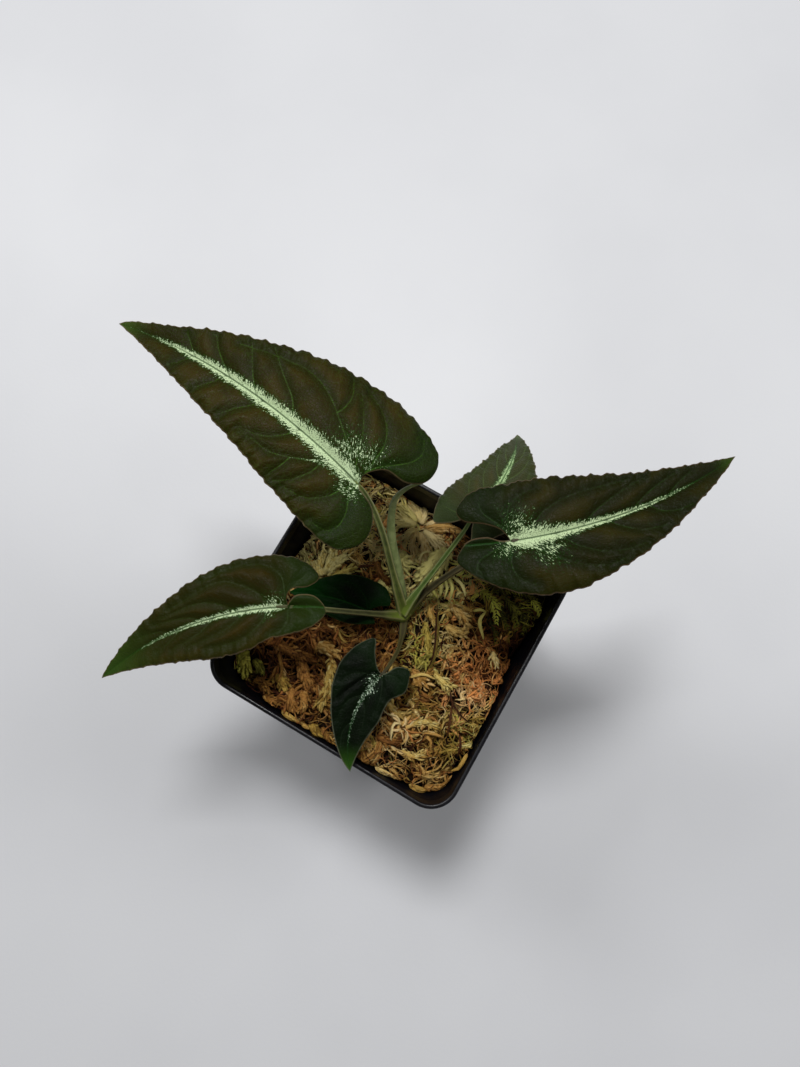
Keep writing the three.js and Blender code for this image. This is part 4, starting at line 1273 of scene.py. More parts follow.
def makeBed():
    # Height over rings from the wall to the middle; under it the wall's own shape to the floor.
    angle = fullTurn(moss["spokes"])
    share = np.linspace(1, 0, moss["rings"])[:, None]

    def wallRing(height):
        half, corner = (size - moss["gap"] for size in innerAt(height))
        reach = outlineAt(angle, half, corner)
        return reach * np.cos(angle), reach * np.sin(angle)

    x, y = (share * side for side in wallRing(moss["wallTop"]))
    z = bedHeight(x, y) - moss["sink"] + moss["lump"] * lumps(x, y) * np.clip(4 * (1 - share), 0, 1)
    top = np.stack([x, y, z - 1.2 * (share > 0.999)], -1)
    top[0] = keepInside(top[0], moss["gap"])
    low = [np.column_stack([*wallRing(z), np.full(len(angle), z)]) for z in moss["wallRows"]]
    foot = np.full((1, len(angle), 3), [0, 0, moss["wallRows"][0]])
    grid = np.concatenate([foot, np.array(low), top])
    points = grid.reshape(-1, 3)
    first, joined = weld(points, gridFaces(len(grid), len(angle), closed=True))[:2]
    makePiece("moss_bed", points[first], joined, [bedMaterial()], ["sphagnum_moss"])


makeBed()

# Each row: x, y, reach, tone, lime, rust, length, width and curl of the branches there.
mossPatches = np.array([
    (-18, -36, 12, 0.32, 0.0, 0.6, 9, 1.9, 1.0),
    (-30, -30, 8, 0.2, 0.0, 0.5, 8, 2.0, 0.8),
    (-6, -44, 10, 0.7, 0.05, 0.2, 7, 2.0, 1.5),
    (-36, -36, 6, 0.6, 0.7, 0.0, 6, 2.4, 0.8),
    (-12, -18, 9, 0.6, 0.0, 0.45, 8, 1.9, 1.0),
    (-24, -20, 7, 0.4, 0.0, 0.8, 8, 2.0, 0.8),
    (0, -8, 7, 0.5, 0.0, 0.5, 6, 1.4, 2.0),
    (-12, -6, 7, 0.45, 0.0, 0.4, 7, 1.6, 1.6),
    (22, -24, 9, 0.78, 0.06, 0.2, 8, 2.1, 1.4),
    (28, -38, 10, 0.76, 0.0, 0.25, 9, 2.4, 1.2),
    (36, -24, 7, 0.6, 0.35, 0.0, 8, 1.7, 1.4),
    (18, -14, 6, 0.55, 0.3, 0.0, 7, 1.6, 0.9),
    (33, 3, 8, 0.8, 0.0, 1.1, 5, 1.2, 2.2),
    (38, 4, 6, 0.7, 0.0, 1.2, 5, 1.2, 2.2),
    (36, -8, 7, 1.45, 0.0, 0.45, 7, 1.6, 2.4),
    (42, -4, 5, 1.1, 0.0, 1.0, 5, 1.3, 2.2),
    (38, -15, 5, 0.7, 0.5, 0.0, 4, 0.9, 1.6),
    (12, -2, 6, 1.25, 0.75, 0.1, 4, 0.7, 2.0),
    (11, 5, 5, 1.25, 0.45, 0.25, 5, 1.3, 1.5),
    (20, 7, 7, 1.05, 0.1, 0.1, 8, 1.9, 1.0),
    # Tones past one in the rows at the back, under leaves A and D, are pale moss raised further as painted
    # light against the shade those leaves cast.
    (12, 17, 6, 1.5, 0.5, 0.0, 7, 1.3, 1.2),
    (24, 13, 7, 0.3, 0.05, 0.6, 7, 1.6, 0.9),
    (34, 24, 9, 0.3, 0.9, 0.0, 5, 1.0, 0.8),
    (38, 14, 6, 0.12, 0.1, 0.8, 5, 1.2, 1.2),
    (2, 24, 7, 1.5, 0.3, 0.0, 9, 2.1, 1.0),
    (-8, 21, 6, 1.5, 0.3, 0.0, 9, 2.1, 1.0),
    (-8, 32, 8, 1.5, 0.1, 0.15, 9, 2.3, 0.8),
    (-13, 43, 6, 1.4, 0.2, 0.15, 8, 2.3, 0.6),
    (-18, 17.5, 5.5, 1.9, 0.35, 0.0, 8, 2.0, 0.8),
    (14, 26, 5, 1.5, 0.4, 0.0, 6, 1.4, 1.6),
    (4, 37, 6, 0.7, 0.0, 0.45, 8, 2.2, 0.7),
    (-22, 33, 8, 1.35, 0.3, 0.1, 7, 1.8, 1.2),
    (-28, 7, 7, 1.5, 0.3, 0.0, 9, 2.0, 0.7),
    (-18, 11, 7, 0.3, 0.1, 0.6, 9, 1.5, 0.7),
    (-16, -1, 6, 0.6, 0.25, 0.2, 8, 2.0, 0.8),
])


def patchValues(x, y):
    # The rows' values, weighted by exp(-(distance / reach)^2).
    gap = np.hypot(x[:, None] - mossPatches[:, 0], y[:, None] - mossPatches[:, 1]) / mossPatches[:, 2]
    weight = bell(np.minimum(gap, 5), 1)
    return (weight @ mossPatches[:, 3:] / weight.sum(1)[:, None]).T


def hummocks(x, y):
    # Waves about ten millimetres long in crossed, bent directions.
    return np.sin(0.62 * x + 1.5 * np.sin(0.31 * y + 1)) * np.sin(0.56 * y + 1.3 * np.sin(0.37 * x))


def columnOf(b, key, count):
    # One value for each branch, whether the branches share it or not.
    return np.broadcast_to(np.asarray(b[key], float), (count,))[:, None]


def branchLines(b, rings):
    # The heading turns by curl over the length with a slow sway; each branch is arched over
    # the bed, and dips down by dig at its far end. It grows from its middle or its start.
    s = np.linspace(0, 1, rings)[None, :]
    col = lambda key: columnOf(b, key, len(b["x"]))
    sway = col("sway") * np.sin(2 * np.pi * (1.2 * s + col("phase")))
    heading = col("heading") + col("curl") * (s - 0.5) + sway
    step = col("length") / (rings - 1)
    x, y = np.cumsum(np.cos(heading), 1) * step, np.cumsum(np.sin(heading), 1) * step
    anchor = 0 if b.get("fromStart") else rings // 2
    x, y = col("x") + x - x[:, anchor:anchor + 1], col("y") + y - y[:, anchor:anchor + 1]
    z = bedHeight(x, y) + col("z") + col("arch") * 4 * s * (1 - s)
    z = z + col("tilt") * (s - 0.5) - col("dig") * s**2
    z = z + 0.3 * col("sway") * np.sin(9 * s + 6 * col("phase"))
    return keepInside(np.stack([x, y, z], -1), 1.1)


def branchFaces(inner, sides):
    # One branch: two triangles for each cell of its walls and a fan at each end.
    k = np.arange(sides)
    after = (k + 1) % sides
    r = np.arange(inner - 1)[:, None] * sides + 1
    last = 1 + (inner - 1) * sides
    return np.concatenate([
        np.stack([r + k, r + sides + after, r + after], -1).reshape(-1, 3),
        np.stack([r + k, r + sides + k, r + sides + after], -1).reshape(-1, 3),
        np.stack([0 * k, 1 + k, 1 + after], -1),
        np.stack([last + k, 0 * k + last + sides, last + after], -1)])


def makeBranches(name, line, b, material, sides=5):
    # A flattened, twisted tube on each line. Its width follows sin(pi s^point)^0.45, with
    # small steps for the overlapping leaves.
    count, rings = line.shape[:2]
    inner, size = rings - 2, 2 + (rings - 2) * sides
    s = np.linspace(0, 1, rings)[None, :]
    col = lambda key: columnOf(b, key, count)
    along = directionOf(np.gradient(line, axis=1))
    side = directionOf(np.cross(along, [0, 0.001, 1]))
    above = np.cross(side, along)
    roll = (col("roll") + col("twist") * s)[..., None]
    side, above = side * np.cos(roll) + above * np.sin(roll), above * np.cos(roll) - side * np.sin(roll)
    body = np.sin(np.pi * s ** col("point")) ** 0.45 * (1 + col("teeth") * np.cos(np.pi * np.arange(rings)))
    turn = fullTurn(sides)[:, None]
    ring = np.cos(turn) * side[:, :, None] + np.sin(turn) * above[:, :, None] * col("flat")[..., None, None]
    tube = (line[:, :, None] + (col("width") / 2 * body)[..., None, None] * ring)[:, 1:-1]
    points = np.concatenate([line[:, :1], tube.reshape(count, inner * sides, 3), line[:, -1:]], 1)
    single = branchFaces(inner, sides)
    faces = (single + (np.arange(count) * size)[:, None, None]).reshape(-1, 3)
    down = np.concatenate([[0], np.repeat(np.arange(1, inner + 1), sides), [rings - 1]]) / (rings - 1)
    about = np.concatenate([[0], np.tile(np.arange(sides) / sides, inner), [0]])[single]
    about = about + ((np.ptp(about, axis=1) > 0.5)[:, None] & (about < 0.5))
    u = down[single] * col("length")[..., None] / 100 + 0.37 * np.arange(count)[:, None, None] % 7
    fields = {key: np.repeat(col(key), size) for key in ("tone", "lime", "rust")}
    fields["down"] = np.tile(down, count)
    # Height over the bed, which the moss material turns into painted shade low down.
    fields["shadeDepth"] = (points[..., 2] - bedHeight(points[..., 0], points[..., 1])).ravel()
    surface = np.stack([u, about * 0.04 + 0 * u], -1).reshape(-1, 2)
    makePiece(name, points.reshape(-1, 3), faces, [material], (), fields, surface)


def branchValues(draw, x, y, level, **more):
    # Values for branches at the given places: each patch's own, with some chance. They rise
    # and are paler on the hummocks, and lie low under the strands that stand out.
    n = len(x)
    tone, lime, rust, length, width, curl = patchValues(x, y)
    flow = 2.4 * np.sin(0.06 * x + 0.8) + 2 * np.cos(0.075 * y - 0.4) + 0.9 * np.sin(0.11 * (x + y))
    gap = np.hypot(x[:, None] - strandPlaces[:, 0], y[:, None] - strandPlaces[:, 1]) - strandPlaces[:, 2]
    under = bell(np.clip(gap.min(1), 0, 9), 1.2)
    rise = hummocks(x, y)
    return {
        "x": x,
        "y": y,
        "z": draw.uniform(*level, n) + 0.9 * rise - 1.5 * under,
        "heading": flow + draw.normal(0, 0.3 + 0.5 * curl),
        "curl": draw.normal(0, 0.5 + 0.7 * curl),
        "sway": draw.uniform(0.1, 0.75, n),
        "phase": draw.uniform(0, 1, n),
        "length": length * draw.uniform(0.75, 1.55, n),
        "width": width * draw.uniform(0.45, 1.3, n),
        "arch": draw.uniform(0.1, 1.4, n),
        "tilt": draw.normal(0, 1.3, n),
        "dig": 0.0,
        "roll": draw.normal(0, 0.6, n),
        "twist": draw.normal(0, 1.1, n),
        "flat": draw.uniform(0.35, 0.7, n),
        "teeth": draw.uniform(0.03, 0.15, n),
        "point": draw.uniform(0.65, 1.2, n),
        "tone": np.clip(tone + 0.13 * rise + draw.normal(0, 0.19, n), 0, 1.5),
        "lime": np.clip(lime * draw.uniform(0.5, 1.4, n) + 0.4 * (draw.uniform(0, 1, n) < 0.08), 0, 0.95),
        "rust": np.clip(rust * draw.uniform(0.4, 1.4, n) + 0.6 * (draw.uniform(0, 1, n) < 0.2), 0, 0.95),
        **more,
    }


def bundled(draw, b, members):
    # Each branch becomes a few narrow ones side by side, lower at the sides and fanned out.
    many = {key: np.repeat(np.broadcast_to(value, b["x"].shape), members) for key, value in b.items()}
    place = np.tile(np.linspace(-1, 1, members), len(b["x"]))
    n = len(place)
    beside, ahead = 0.55 * place * many["width"], draw.normal(0, 0.13, n) * many["length"]
    c, s = np.cos(many["heading"]), np.sin(many["heading"])
    many["x"] = many["x"] + c * ahead - s * beside
    many["y"] = many["y"] + s * ahead + c * beside
    many["z"] = many["z"] - 0.3 * many["width"] * place**2 + draw.normal(0, 0.1, n)
    many["heading"] = many["heading"] + 0.16 * place + draw.normal(0, 0.12, n)
    many["length"] = many["length"] * draw.uniform(0.6, 1.1, n)
    many["width"] = many["width"] * draw.uniform(0.28, 0.56, n)
    many["roll"] = draw.normal(0, 0.7, n)
    many["tone"] = np.clip(many["tone"] + draw.normal(0, 0.13, n), 0, 1.5)
    return many


tufts = {
    "count": 150,
    "arms": 9,
    "shorter": 0.75,
    "narrower": 0.55,
}


def makeHeads(draw, material):
    # Tufts: branches spread evenly round a centre, rising a little and drooping at the ends.
    count, arms = tufts["count"], tufts["arms"]
    x, y = np.repeat(draw.uniform(-41, 41, (2, count)), arms, 1)
    n = count * arms
    start = np.repeat(draw.uniform(0, 2 * np.pi, count), arms)
    paler = np.repeat(draw.normal(0, 0.14, count), arms)
    b = branchValues(draw, x, y, (0, 0.4), fromStart=True, tilt=0.0)
    b["z"] = b["z"] + np.repeat(draw.uniform(0.2, 1.8, count), arms)
    b["heading"] = start + np.tile(fullTurn(arms), count) + draw.normal(0, 0.25, n)
    b["length"], b["width"] = b["length"] * tufts["shorter"], b["width"] * tufts["narrower"]
    b["dig"], b["arch"] = draw.uniform(1.0, 3.2, n), draw.uniform(0.4, 1.3, n)
    b["tone"] = np.clip(b["tone"] + paler, 0, 1.5)
    makeBranches("moss_heads", branchLines(b, 8), b, material)


# Branches that stand out: width, tone, lime, rust, lift, then places along each.
mossStrands = [
    # The rows down to the one at (6.4, 22.4) lie at the back under leaves A and D; their tones are raised,
    # partly as painted light against those leaves' shade.
    (3.2, 1.19, 0.1, 0.2, 3, (-8.2, 34.4), (-9.6, 38.7), (-11.7, 43.1)),
    (2.9, 0.806, 0.05, 0.45, 2.6, (-6.8, 34), (-0.9, 37.8), (5.5, 40.7)),
    (3.2, 1.25, 0.1, 0.15, 2.4, (-6.6, 32.9), (-2.5, 31.8), (1.3, 31.2)),
    (2.6, 1.06, 0.05, 0.2, 1.8, (-7.3, 32.1), (-3.6, 28.4), (-1.6, 24.1)),
    (2.4, 0.998, 0.05, 0.2, 1.6, (-8.5, 32.2), (-7.6, 27.2), (-4.2, 24.1)),
    (2, 1.06, 0.15, 0.1, 2, (-8.1, 32.8), (-10, 29.4), (-10.1, 27)),
    (4, 1.19, 0.3, 0.1, 3, (-9.4, 33.7), (-13.5, 32.1), (-15.8, 32)),
    (3.6, 1.19, 0.4, 0.1, 2.8, (-9.7, 34.3), (-14.3, 36.1), (-16.8, 37.8)),
    (3.2, 1.13, 0.2, 0.2, 3, (-8.6, 35), (-12.1, 38.5), (-15, 40)),
    (2.4, 1.19, 0.05, 0.25, 3.2, (-6.6, 34.9), (-4.5, 39.3), (-6.8, 40.7)),
    (4.8, 1.46, 0.4, 0, 3.2, (3.6, 31.8), (2.4, 24.5), (0.9, 15.1)),
    (3.6, 1.46, 0.4, 0, 2.8, (5.4, 31), (4.6, 24), (2.8, 17)),
    (4.4, 1.44, 0.35, 0, 2.6, (-13, 17.9), (-9.8, 19.7), (-4.4, 19)),
    (3.4, 1.38, 0.4, 0, 2.4, (-10.8, 11), (-8.1, 9.5), (-4.9, 8.7)),
    (3, 1.38, 0.45, 0, 2.6, (-6.6, 22.8), (-7.7, 19.4), (-3.1, 18.1)),
    (0.9, 1.19, 0.2, 0, 2.6, (-2.5, 22.4), (-2.1, 25.7), (0.3, 27.5)),
    (1.5, 1.19, 0.5, 0, 2.4, (5.5, 21.2), (8.8, 18.1), (9.9, 15.3)),
    (1.4, 1.12, 0.5, 0, 2.6, (7.4, 23.1), (11.6, 20.5), (13.3, 16.1)),
    (1.4, 1.19, 0.3, 0, 2.6, (9.8, 23.6), (14.3, 22.4), (17.3, 19.6)),
    (1.3, 1.12, 0.6, 0, 2.2, (4.6, 18), (7.4, 15.8), (9.5, 14.7)),
    (1.2, 1.19, 0.5, 0, 2.8, (6.4, 22.4), (10.2, 19.5), (11.6, 15.2)),
    (2.6, 0.91, 0.2, 0, 2.2, (-28.2, 2.5), (-31.1, 5.9), (-33.4, 9.7)),
    (2.8, 1.1, 0.25, 0, 3, (-27.6, 2.8), (-28.2, 7.6), (-29.2, 11.3)),
    (3, 1.17, 0.25, 0, 3, (-26.9, 2.9), (-25.8, 8.2), (-24.2, 12.6)),
    (2.4, 1.04, 0.2, 0, 2.4, (-27.6, 2.1), (-30.5, 3.1), (-33.1, 4.7)),
    (2.1, 0.845, 0.35, 0, 2.4, (-25.1, 3.1), (-21.6, 7.1), (-18.8, 10.7)),
    (1.2, 0.12, 0, 0.9, 1.6, (-23.1, 6.2), (-18.2, 11), (-13.2, 14.3)),
    (1.4, 0.1, 0, 0.8, 1.6, (-15.7, 8.2), (-13.2, 10.4), (-10.1, 11)),
    (1.6, 0.3, 0.1, 0.6, 2.6, (-14.6, 15.4), (-12, 13), (-6.3, 10.5)),
    (3.6, 0.75, 0.75, 0, 4, (-37.5, -33.3), (-35.7, -36.8), (-33.4, -39.9)),
    (2.6, 0.5, 0.85, 0, 3.4, (-36.6, -31.6), (-38.4, -34.8), (-37.4, -38)),
    (2.8, 0.35, 0.85, 0, 2.4, (-34.4, -33.4), (-31.6, -34), (-29, -35.8)),
    (3, 0.39, 0, 0.6, 2, (-31.2, -24.8), (-21.9, -24.3), (-14.6, -23.7)),
    (3.5, 0.468, 0, 0.55, 2.2, (-19.9, -25.7), (-15.4, -28.7), (-10.3, -32)),
    (3.8, 0.702, 0, 0.15, 2.4, (-17.6, -18.8), (-11.6, -17.9), (-9.8, -19.1)),
    (2.6, 0.702, 0.2, 0.1, 3.2, (-10.6, -19.6), (-6.9, -28.2), (-6, -36)),
    (2.6, 0.468, 0, 0.5, 2.2, (-16.8, -33.9), (-14.9, -37.6), (-11.9, -40.6)),
    (3.6, 0.468, 0.3, 0.15, 2, (-23.8, -33.6), (-21.1, -34.2), (-18.6, -35.3)),
    (1.3, 0.39, 0.1, 0.3, 2.4, (-27, -27.2), (-22.7, -31.1), (-21.6, -35.3)),
    (2.2, 0.663, 0.15, 0.1, 1.4, (-15.7, -43.5), (-12.4, -44.1), (-9, -44)),
    (1.5, 0.663, 0.1, 0.1, 1.2, (-7.9, -44), (-6.1, -44.4), (-4.7, -44.3)),
    (3, 0.468, 0.3, 0.1, 1.8, (-5.5, -40.5), (-2.7, -42.1), (0, -43.4)),
    (2.5, 0.39, 0.1, 0.3, 1.8, (-2.1, -39.9), (0.6, -41.2), (3.2, -42.6)),
    (2.2, 0.312, 0.1, 0.4, 1.6, (-30.3, -39.2), (-26.7, -38.2), (-22.7, -38.5)),
    (2.2, 0.351, 0.05, 0.4, 1.4, (-24, -41.4), (-20.5, -40.8), (-17.1, -39.6)),
    (2.6, 0.507, 0, 0.45, 2.2, (-14.3, -33.6), (-11.2, -35.4), (-9.8, -39)),
    (2, 0.95, 0, 0, 1, (18.8, -43.1), (22.6, -44), (26.6, -44.5)),
    (1.8, 0.58, 0, 0.3, 1.6, (35.2, -39.8), (41.4, -36.9), (41, -32.9)),
    (2.4, 0.65, 0.1, 0, 1.4, (30.8, -42.4), (34.9, -42.5), (38.8, -43)),
    (1.8, 0.8, 0.1, 0, 2.2, (11.1, -22.4), (15.8, -24.1), (20.4, -22.5)),
    (1.8, 0.3, 0, 0.6, 1.8, (13.9, -33.5), (19.1, -32.9), (22.1, -30.5)),
    (1.8, 0.8, 0.15, 0, 2.2, (22, -25.2), (25.6, -21.9), (30.1, -21.5)),
    (1.8, 0.75, 0.1, 0, 2, (23.1, -33.5), (28.3, -32.9), (30.2, -30)),
    (2.2, 0.85, 0.2, 0, 2.6, (19.9, -7.4), (25.1, -8.1), (28.4, -8.7)),
    (2, 0.95, 0.05, 0.05, 2.2, (33.9, 9.2), (34.7, 7.1), (36.9, 5.8)),
    (1.1, 0.3, 0.6, 0.1, 3.2, (11, 12.1), (18.2, -2.5), (18.6, -7.8)),
    (0.8, 0.05, 0, 0.5, 3.4, (10.4, 12.8), (17.4, -2.2), (18.2, -8.6)),
    (0.9, 0.05, 0, 0.7, 3, (27.6, -9.2), (30.2, -12.4), (35.1, -14.6), (38.2, -15)),
    (0.9, 0.12, 0, 0.7, 2.6, (30.2, -12.4), (32.2, -17.4), (34, -22.5)),
    (0.9, 0.05, 0, 0.9, 2.4, (36.7, -19.5), (38.8, -22.5), (39.8, -26.2)),
    (1.5, 0.62, 0.2, 0.2, 2.4, (42.2, -23.4), (42.6, -27.4), (40.1, -31.3)),
    (1.8, 0.72, 0.15, 0.1, 2, (8.2, 13.1), (9.5, 9.4), (13.4, 6.7)),
    (2.4, 0.765, 0, 0.1, 2.2, (14.1, 14.7), (19.1, 13.8), (23.8, 10.8)),
    (2.6, 0.765, 0.05, 0.05, 2, (15.9, 8.1), (19.8, 7.8), (23.8, 9.4)),
    (1.6, 0.7, 0.5, 0.2, 2, (9.4, 6.3), (13.5, 1.1), (16.5, -2.7)),
    (1.2, 0.95, 0.45, 0, 3.4, (21.6, 16.7), (23.4, 18.2), (25.7, 18.7)),
    (1.4, 0.97, 0.4, 0, 3.2, (25.3, 18.9), (25.1, 15), (29.3, 10.3)),
    (2.4, 0.62, 0, 0.35, 2.6, (13.4, -9.4), (17.4, -11.4), (21.4, -11.8)),
    (1.7, 0.55, 0.1, 0.3, 2.8, (15.9, -14.3), (18.3, -10.4), (19.6, -6.3)),
    (1.3, 0.85, 0.15, 0.1, 3, (14.2, -12.4), (17.8, -9.2), (22, -8.6)),
]


# Spots along each strand, with half its width.
strandPlaces = np.vstack([
    np.insert(alongLine(smoothLine(strand[5:], 12), np.linspace(0.05, 0.95, 9)), 2, strand[0] / 2, axis=1)
    for strand in mossStrands])


strandShape = {
    "rings": 18,
    "wide": 1.55,  # wider ones are clad in leaves
    "lobes": 10,  # the first rows: the lobes of the star at the back
    "leafGap": (0.3, 0.2),  # on the others and on the lobes, as in the next three
    "leafSplay": (0.34, 0.16),
    "leafWidth": (0.3, 0.14),
    "leafLength": (1, 1.5),
}


def makeStrands(material):
    # Each strand is a smooth line through its places, highest in the middle. Wide ones are
    # a core under small leaves that overlap to the left, the right and along the top.
    draw = np.random.default_rng(3)
    share = np.linspace(0, 1, strandShape["rings"])
    rise = lambda width, lift, u: lift * (0.45 + 1.6 * u * (1 - u)) + 1 - 0.1 * width
    lines, scales = [], []
    for number, (width, tone, lime, rust, lift, *places) in enumerate(mossStrands):
        route = smoothLine(places, 12)
        x, y = alongLine(route, share).T
        wide = width > strandShape["wide"]
        z = bedHeight(x, y) + rise(width, lift, share) - 0.25 * width * wide
        lines.append(np.column_stack([x, y, z]))
        if not wide:
            continue
        gap, splay, broad, long = (
            strandShape[key][number < strandShape["lobes"]]
            for key in ("leafGap", "leafSplay", "leafWidth", "leafLength"))
        n = round(lineLength(route) / gap)
        u = np.linspace(0, 0.86, n)
        spot, ahead = alongLine(route, u), alongLine(route, u + 0.04) - alongLine(route, u)
        heading, hand = np.arctan2(ahead[:, 1], ahead[:, 0]), np.tile([-1, 0.5, 1, -0.5, 0], n)[:n]
        out = 0.34 * width * hand * np.sin(np.pi * (0.12 + 0.8 * u)) ** 0.5
        scales.append(np.column_stack([
            spot[:, 0] - np.sin(heading) * out,
            spot[:, 1] + np.cos(heading) * out,
            rise(width, lift, u) - 0.25 - 0.5 * np.abs(out) + draw.uniform(-0.15, 0.2, n),
            heading + splay * hand,
            np.tile([broad * width + 0.35, long, tone, lime, rust], (n, 1))]))
    lines = keepInside(np.array(lines), 1.0)
    width, tone, lime, rust = np.array([strand[:4] for strand in mossStrands]).T
    n = len(lines)
    b = {
        "width": width * np.where(width > strandShape["wide"], 0.86, 0.9),
        "tone": tone * 1.05,
        "lime": lime,
        "rust": rust * 0.6,
        "length": np.array([lineLength(line) for line in lines]),
        "flat": draw.uniform(0.4, 0.6, n),
        "roll": draw.normal(0, 0.25, n),
        "twist": draw.normal(0, 0.5, n),
        "teeth": 0.05,
        "point": draw.uniform(0.7, 1.0, n),
    }
    makeBranches("moss_strands", lines, b, material, sides=9)
    x, y, z, heading, width, length, tone, lime, rust = np.vstack(scales).T
    n = len(x)
    b = {
        "x": x,
        "y": y,
        "z": z,
        "heading": heading + draw.normal(0, 0.2, n),
        "curl": draw.normal(0, 0.5, n),
        "sway": draw.uniform(0, 0.3, n),
        "phase": draw.uniform(0, 1, n),
        "length": length * draw.uniform(1.6, 3.4, n),
        "width": width * draw.uniform(0.6, 1.05, n),
        "arch": draw.uniform(0.1, 0.4, n),
        "tilt": 0.0,
        "dig": draw.uniform(-0.2, 0.8, n),
        "fromStart": True,
        "roll": draw.normal(0, 0.4, n),
        "twist": draw.normal(0, 0.4, n),
        "flat": 0.35,
        "teeth": 0.0,
        "point": draw.uniform(0.6, 0.9, n),
        "tone": np.clip(tone * 1.1 + draw.normal(0, 0.13, n), 0, 1.5),
        "lime": lime,
        "rust": rust * 0.6,
    }
    makeBranches("moss_scales", branchLines(b, 7), b, material, sides=4)


# Three places along each sprig, and its brightness.
mossSprigs = [
    ((20.2, 23.9), (24.2, 23.5), (28.3, 22.9), 0.75),
    ((25.2, 23), (28.1, 20.5), (30.1, 17.5), 1.35),
    ((28.1, 26.6), (31.5, 25.1), (35, 24.1), 0.45),
    ((36.5, 30.3), (40, 28.5), (42.4, 26.2), 1.3),
    ((29.1, 21.4), (31.8, 19.2), (35, 17.3), 0.4),
    ((32.5, 25.3), (34.5, 22.3), (37, 19.2), 0.5),
    ((24.5, 28.3), (28.7, 28.8), (32.7, 30.4), 0.5),
    ((35.6, 24.5), (38.2, 23), (39.5, 19.2), 0.4),
    ((30, 32), (34, 31), (38, 31.5), 0.35),
    ((22, 27), (25, 31), (27, 35), 0.4),
    ((27, 18), (31, 15), (33, 12), 0.3),
]
sprigShape = {
    "pairs": 8,
    "slant": 36,  # degrees off the stalk
    "lengths": (3.6, 1.4),
}


def makeSprigs(material):
    # Feather-shaped sprigs: pairs of small leaves slant off a stalk and shorten to its tip.
    pairs = sprigShape["pairs"]
    draw = np.random.default_rng(5)
    rows = []
    for *route, bright in mossSprigs:
        line = alongLine(smoothLine(route, 12), np.linspace(0.04, 1, pairs))
        x, y = line.T
        along = np.arctan2(*np.gradient(line, axis=0).T[::-1])
        for hand in (-1, 1):
            z = 2.6 + bright - 0.6 * np.linspace(-1, 1, pairs) ** 2
            heading = along + hand * np.radians(sprigShape["slant"]) + draw.normal(0, 0.15, pairs)
            length = np.linspace(*sprigShape["lengths"], pairs) * draw.uniform(0.6, 1.1, pairs)
            rows.append(np.stack([x, y, z, heading, length, np.linspace(bright - 0.3, bright + 0.1, pairs)]))
        stalk = [x[0], y[0], 2.3 + bright, along[pairs // 2], lineLength(line), bright - 0.2]
        rows.append(np.array(stalk)[:, None])
    x, y, z, heading, length, tone = np.concatenate(rows, 1)
    b = {
        "x": x, "y": y, "z": z, "heading": heading, "curl": 0.0, "sway": 0.05, "phase": 0.3,
        "length": length, "width": 0.55, "arch": 0.3, "tilt": -0.4, "dig": 0.5, "fromStart": True,
        "roll": 0.2, "twist": 0.3, "flat": 0.4, "teeth": 0.0, "point": 0.7,
        "tone": np.clip(tone, 0, 1.5), "lime": 0.9, "rust": 0.0,
    }
    makeBranches("moss_sprigs", branchLines(b, 7), b, material)


mossTones = [
    (0.0, colour(42, 23, 8)), (0.16, colour(92, 56, 20)), (0.32, colour(142, 96, 38)),
    (0.48, colour(178, 131, 60)), (0.64, colour(208, 168, 92)), (0.8, colour(228, 198, 124)),
    (1.0, colour(244, 224, 164)),
]
mossTints = {
    "lime": (colour(28, 36, 6), colour(220, 222, 84)),  # at a low and at a high tone
    "rust": (colour(58, 22, 7), colour(238, 152, 80)),
    "ends": colour(84, 52, 22),
    # foot: painted shade, laid on the parts that lie deep in the bed
    "foot": colour(34, 20, 9),
}


def mossMaterial(name):
    # Colour by the branch's own tone, with fine lengthwise streaks, cross lines where small
    # leaves overlap, darker ends and painted shade on the parts that lie deep in the bed.
    material, tree, shader = startMaterial(name, roughness=0.5, specular=0.2)
    place = surfaceOf(tree)
    fibre = noiseOf(place, 130, 3, 0.6, (0.45, 5, 1))
    scale = noiseOf(place, 130, 2, 0.6, (2.2, 1.2, 1))
    tone = plus(fieldOf(tree, "tone"), swing(fibre, 1.2))
    tone = plus(tone, swing(scale, 0.4))
    lime, rust = (mixOf(stepOf(tone, 0, 1.25), *mossTints[key]) for key in ("lime", "rust"))
    down = fieldOf(tree, "down")
    ends = plus(stepOf(down, 0.14, 0, 0, 0.4), stepOf(down, 0.92, 1, 0, 0.3))
    ground = layered(
        rampOf(times(tone, 0.8), mossTones),
        (fieldOf(tree, "lime"), lime),
        (fieldOf(tree, "rust"), rust),
        (ends, mossTints["ends"]),
        # painted shade where a part lies below the bed's height
        (stepOf(fieldOf(tree, "shadeDepth"), 0.6, -2, 0, 0.8), mossTints["foot"]))
    finishSkin(shader, ground, plus(fibre, times(scale, 0.8)), 0.0004, 0.9)
    return material


mossLayers = {
    "moss_under": {"count": 900, "level": (-2.6, -0.6), "change": -0.26, "members": 4, "rings": 6},
    "moss_branches": {"count": 850, "level": (-0.7, 1.5), "change": -0.07, "members": 6, "rings": 9},
}
fibres = {
    "count": 2600,
    "level": (0.2, 2.4),
    "length": (3, 9),
    "width": (0.2, 0.6),
    "darkShare": 0.25,
}


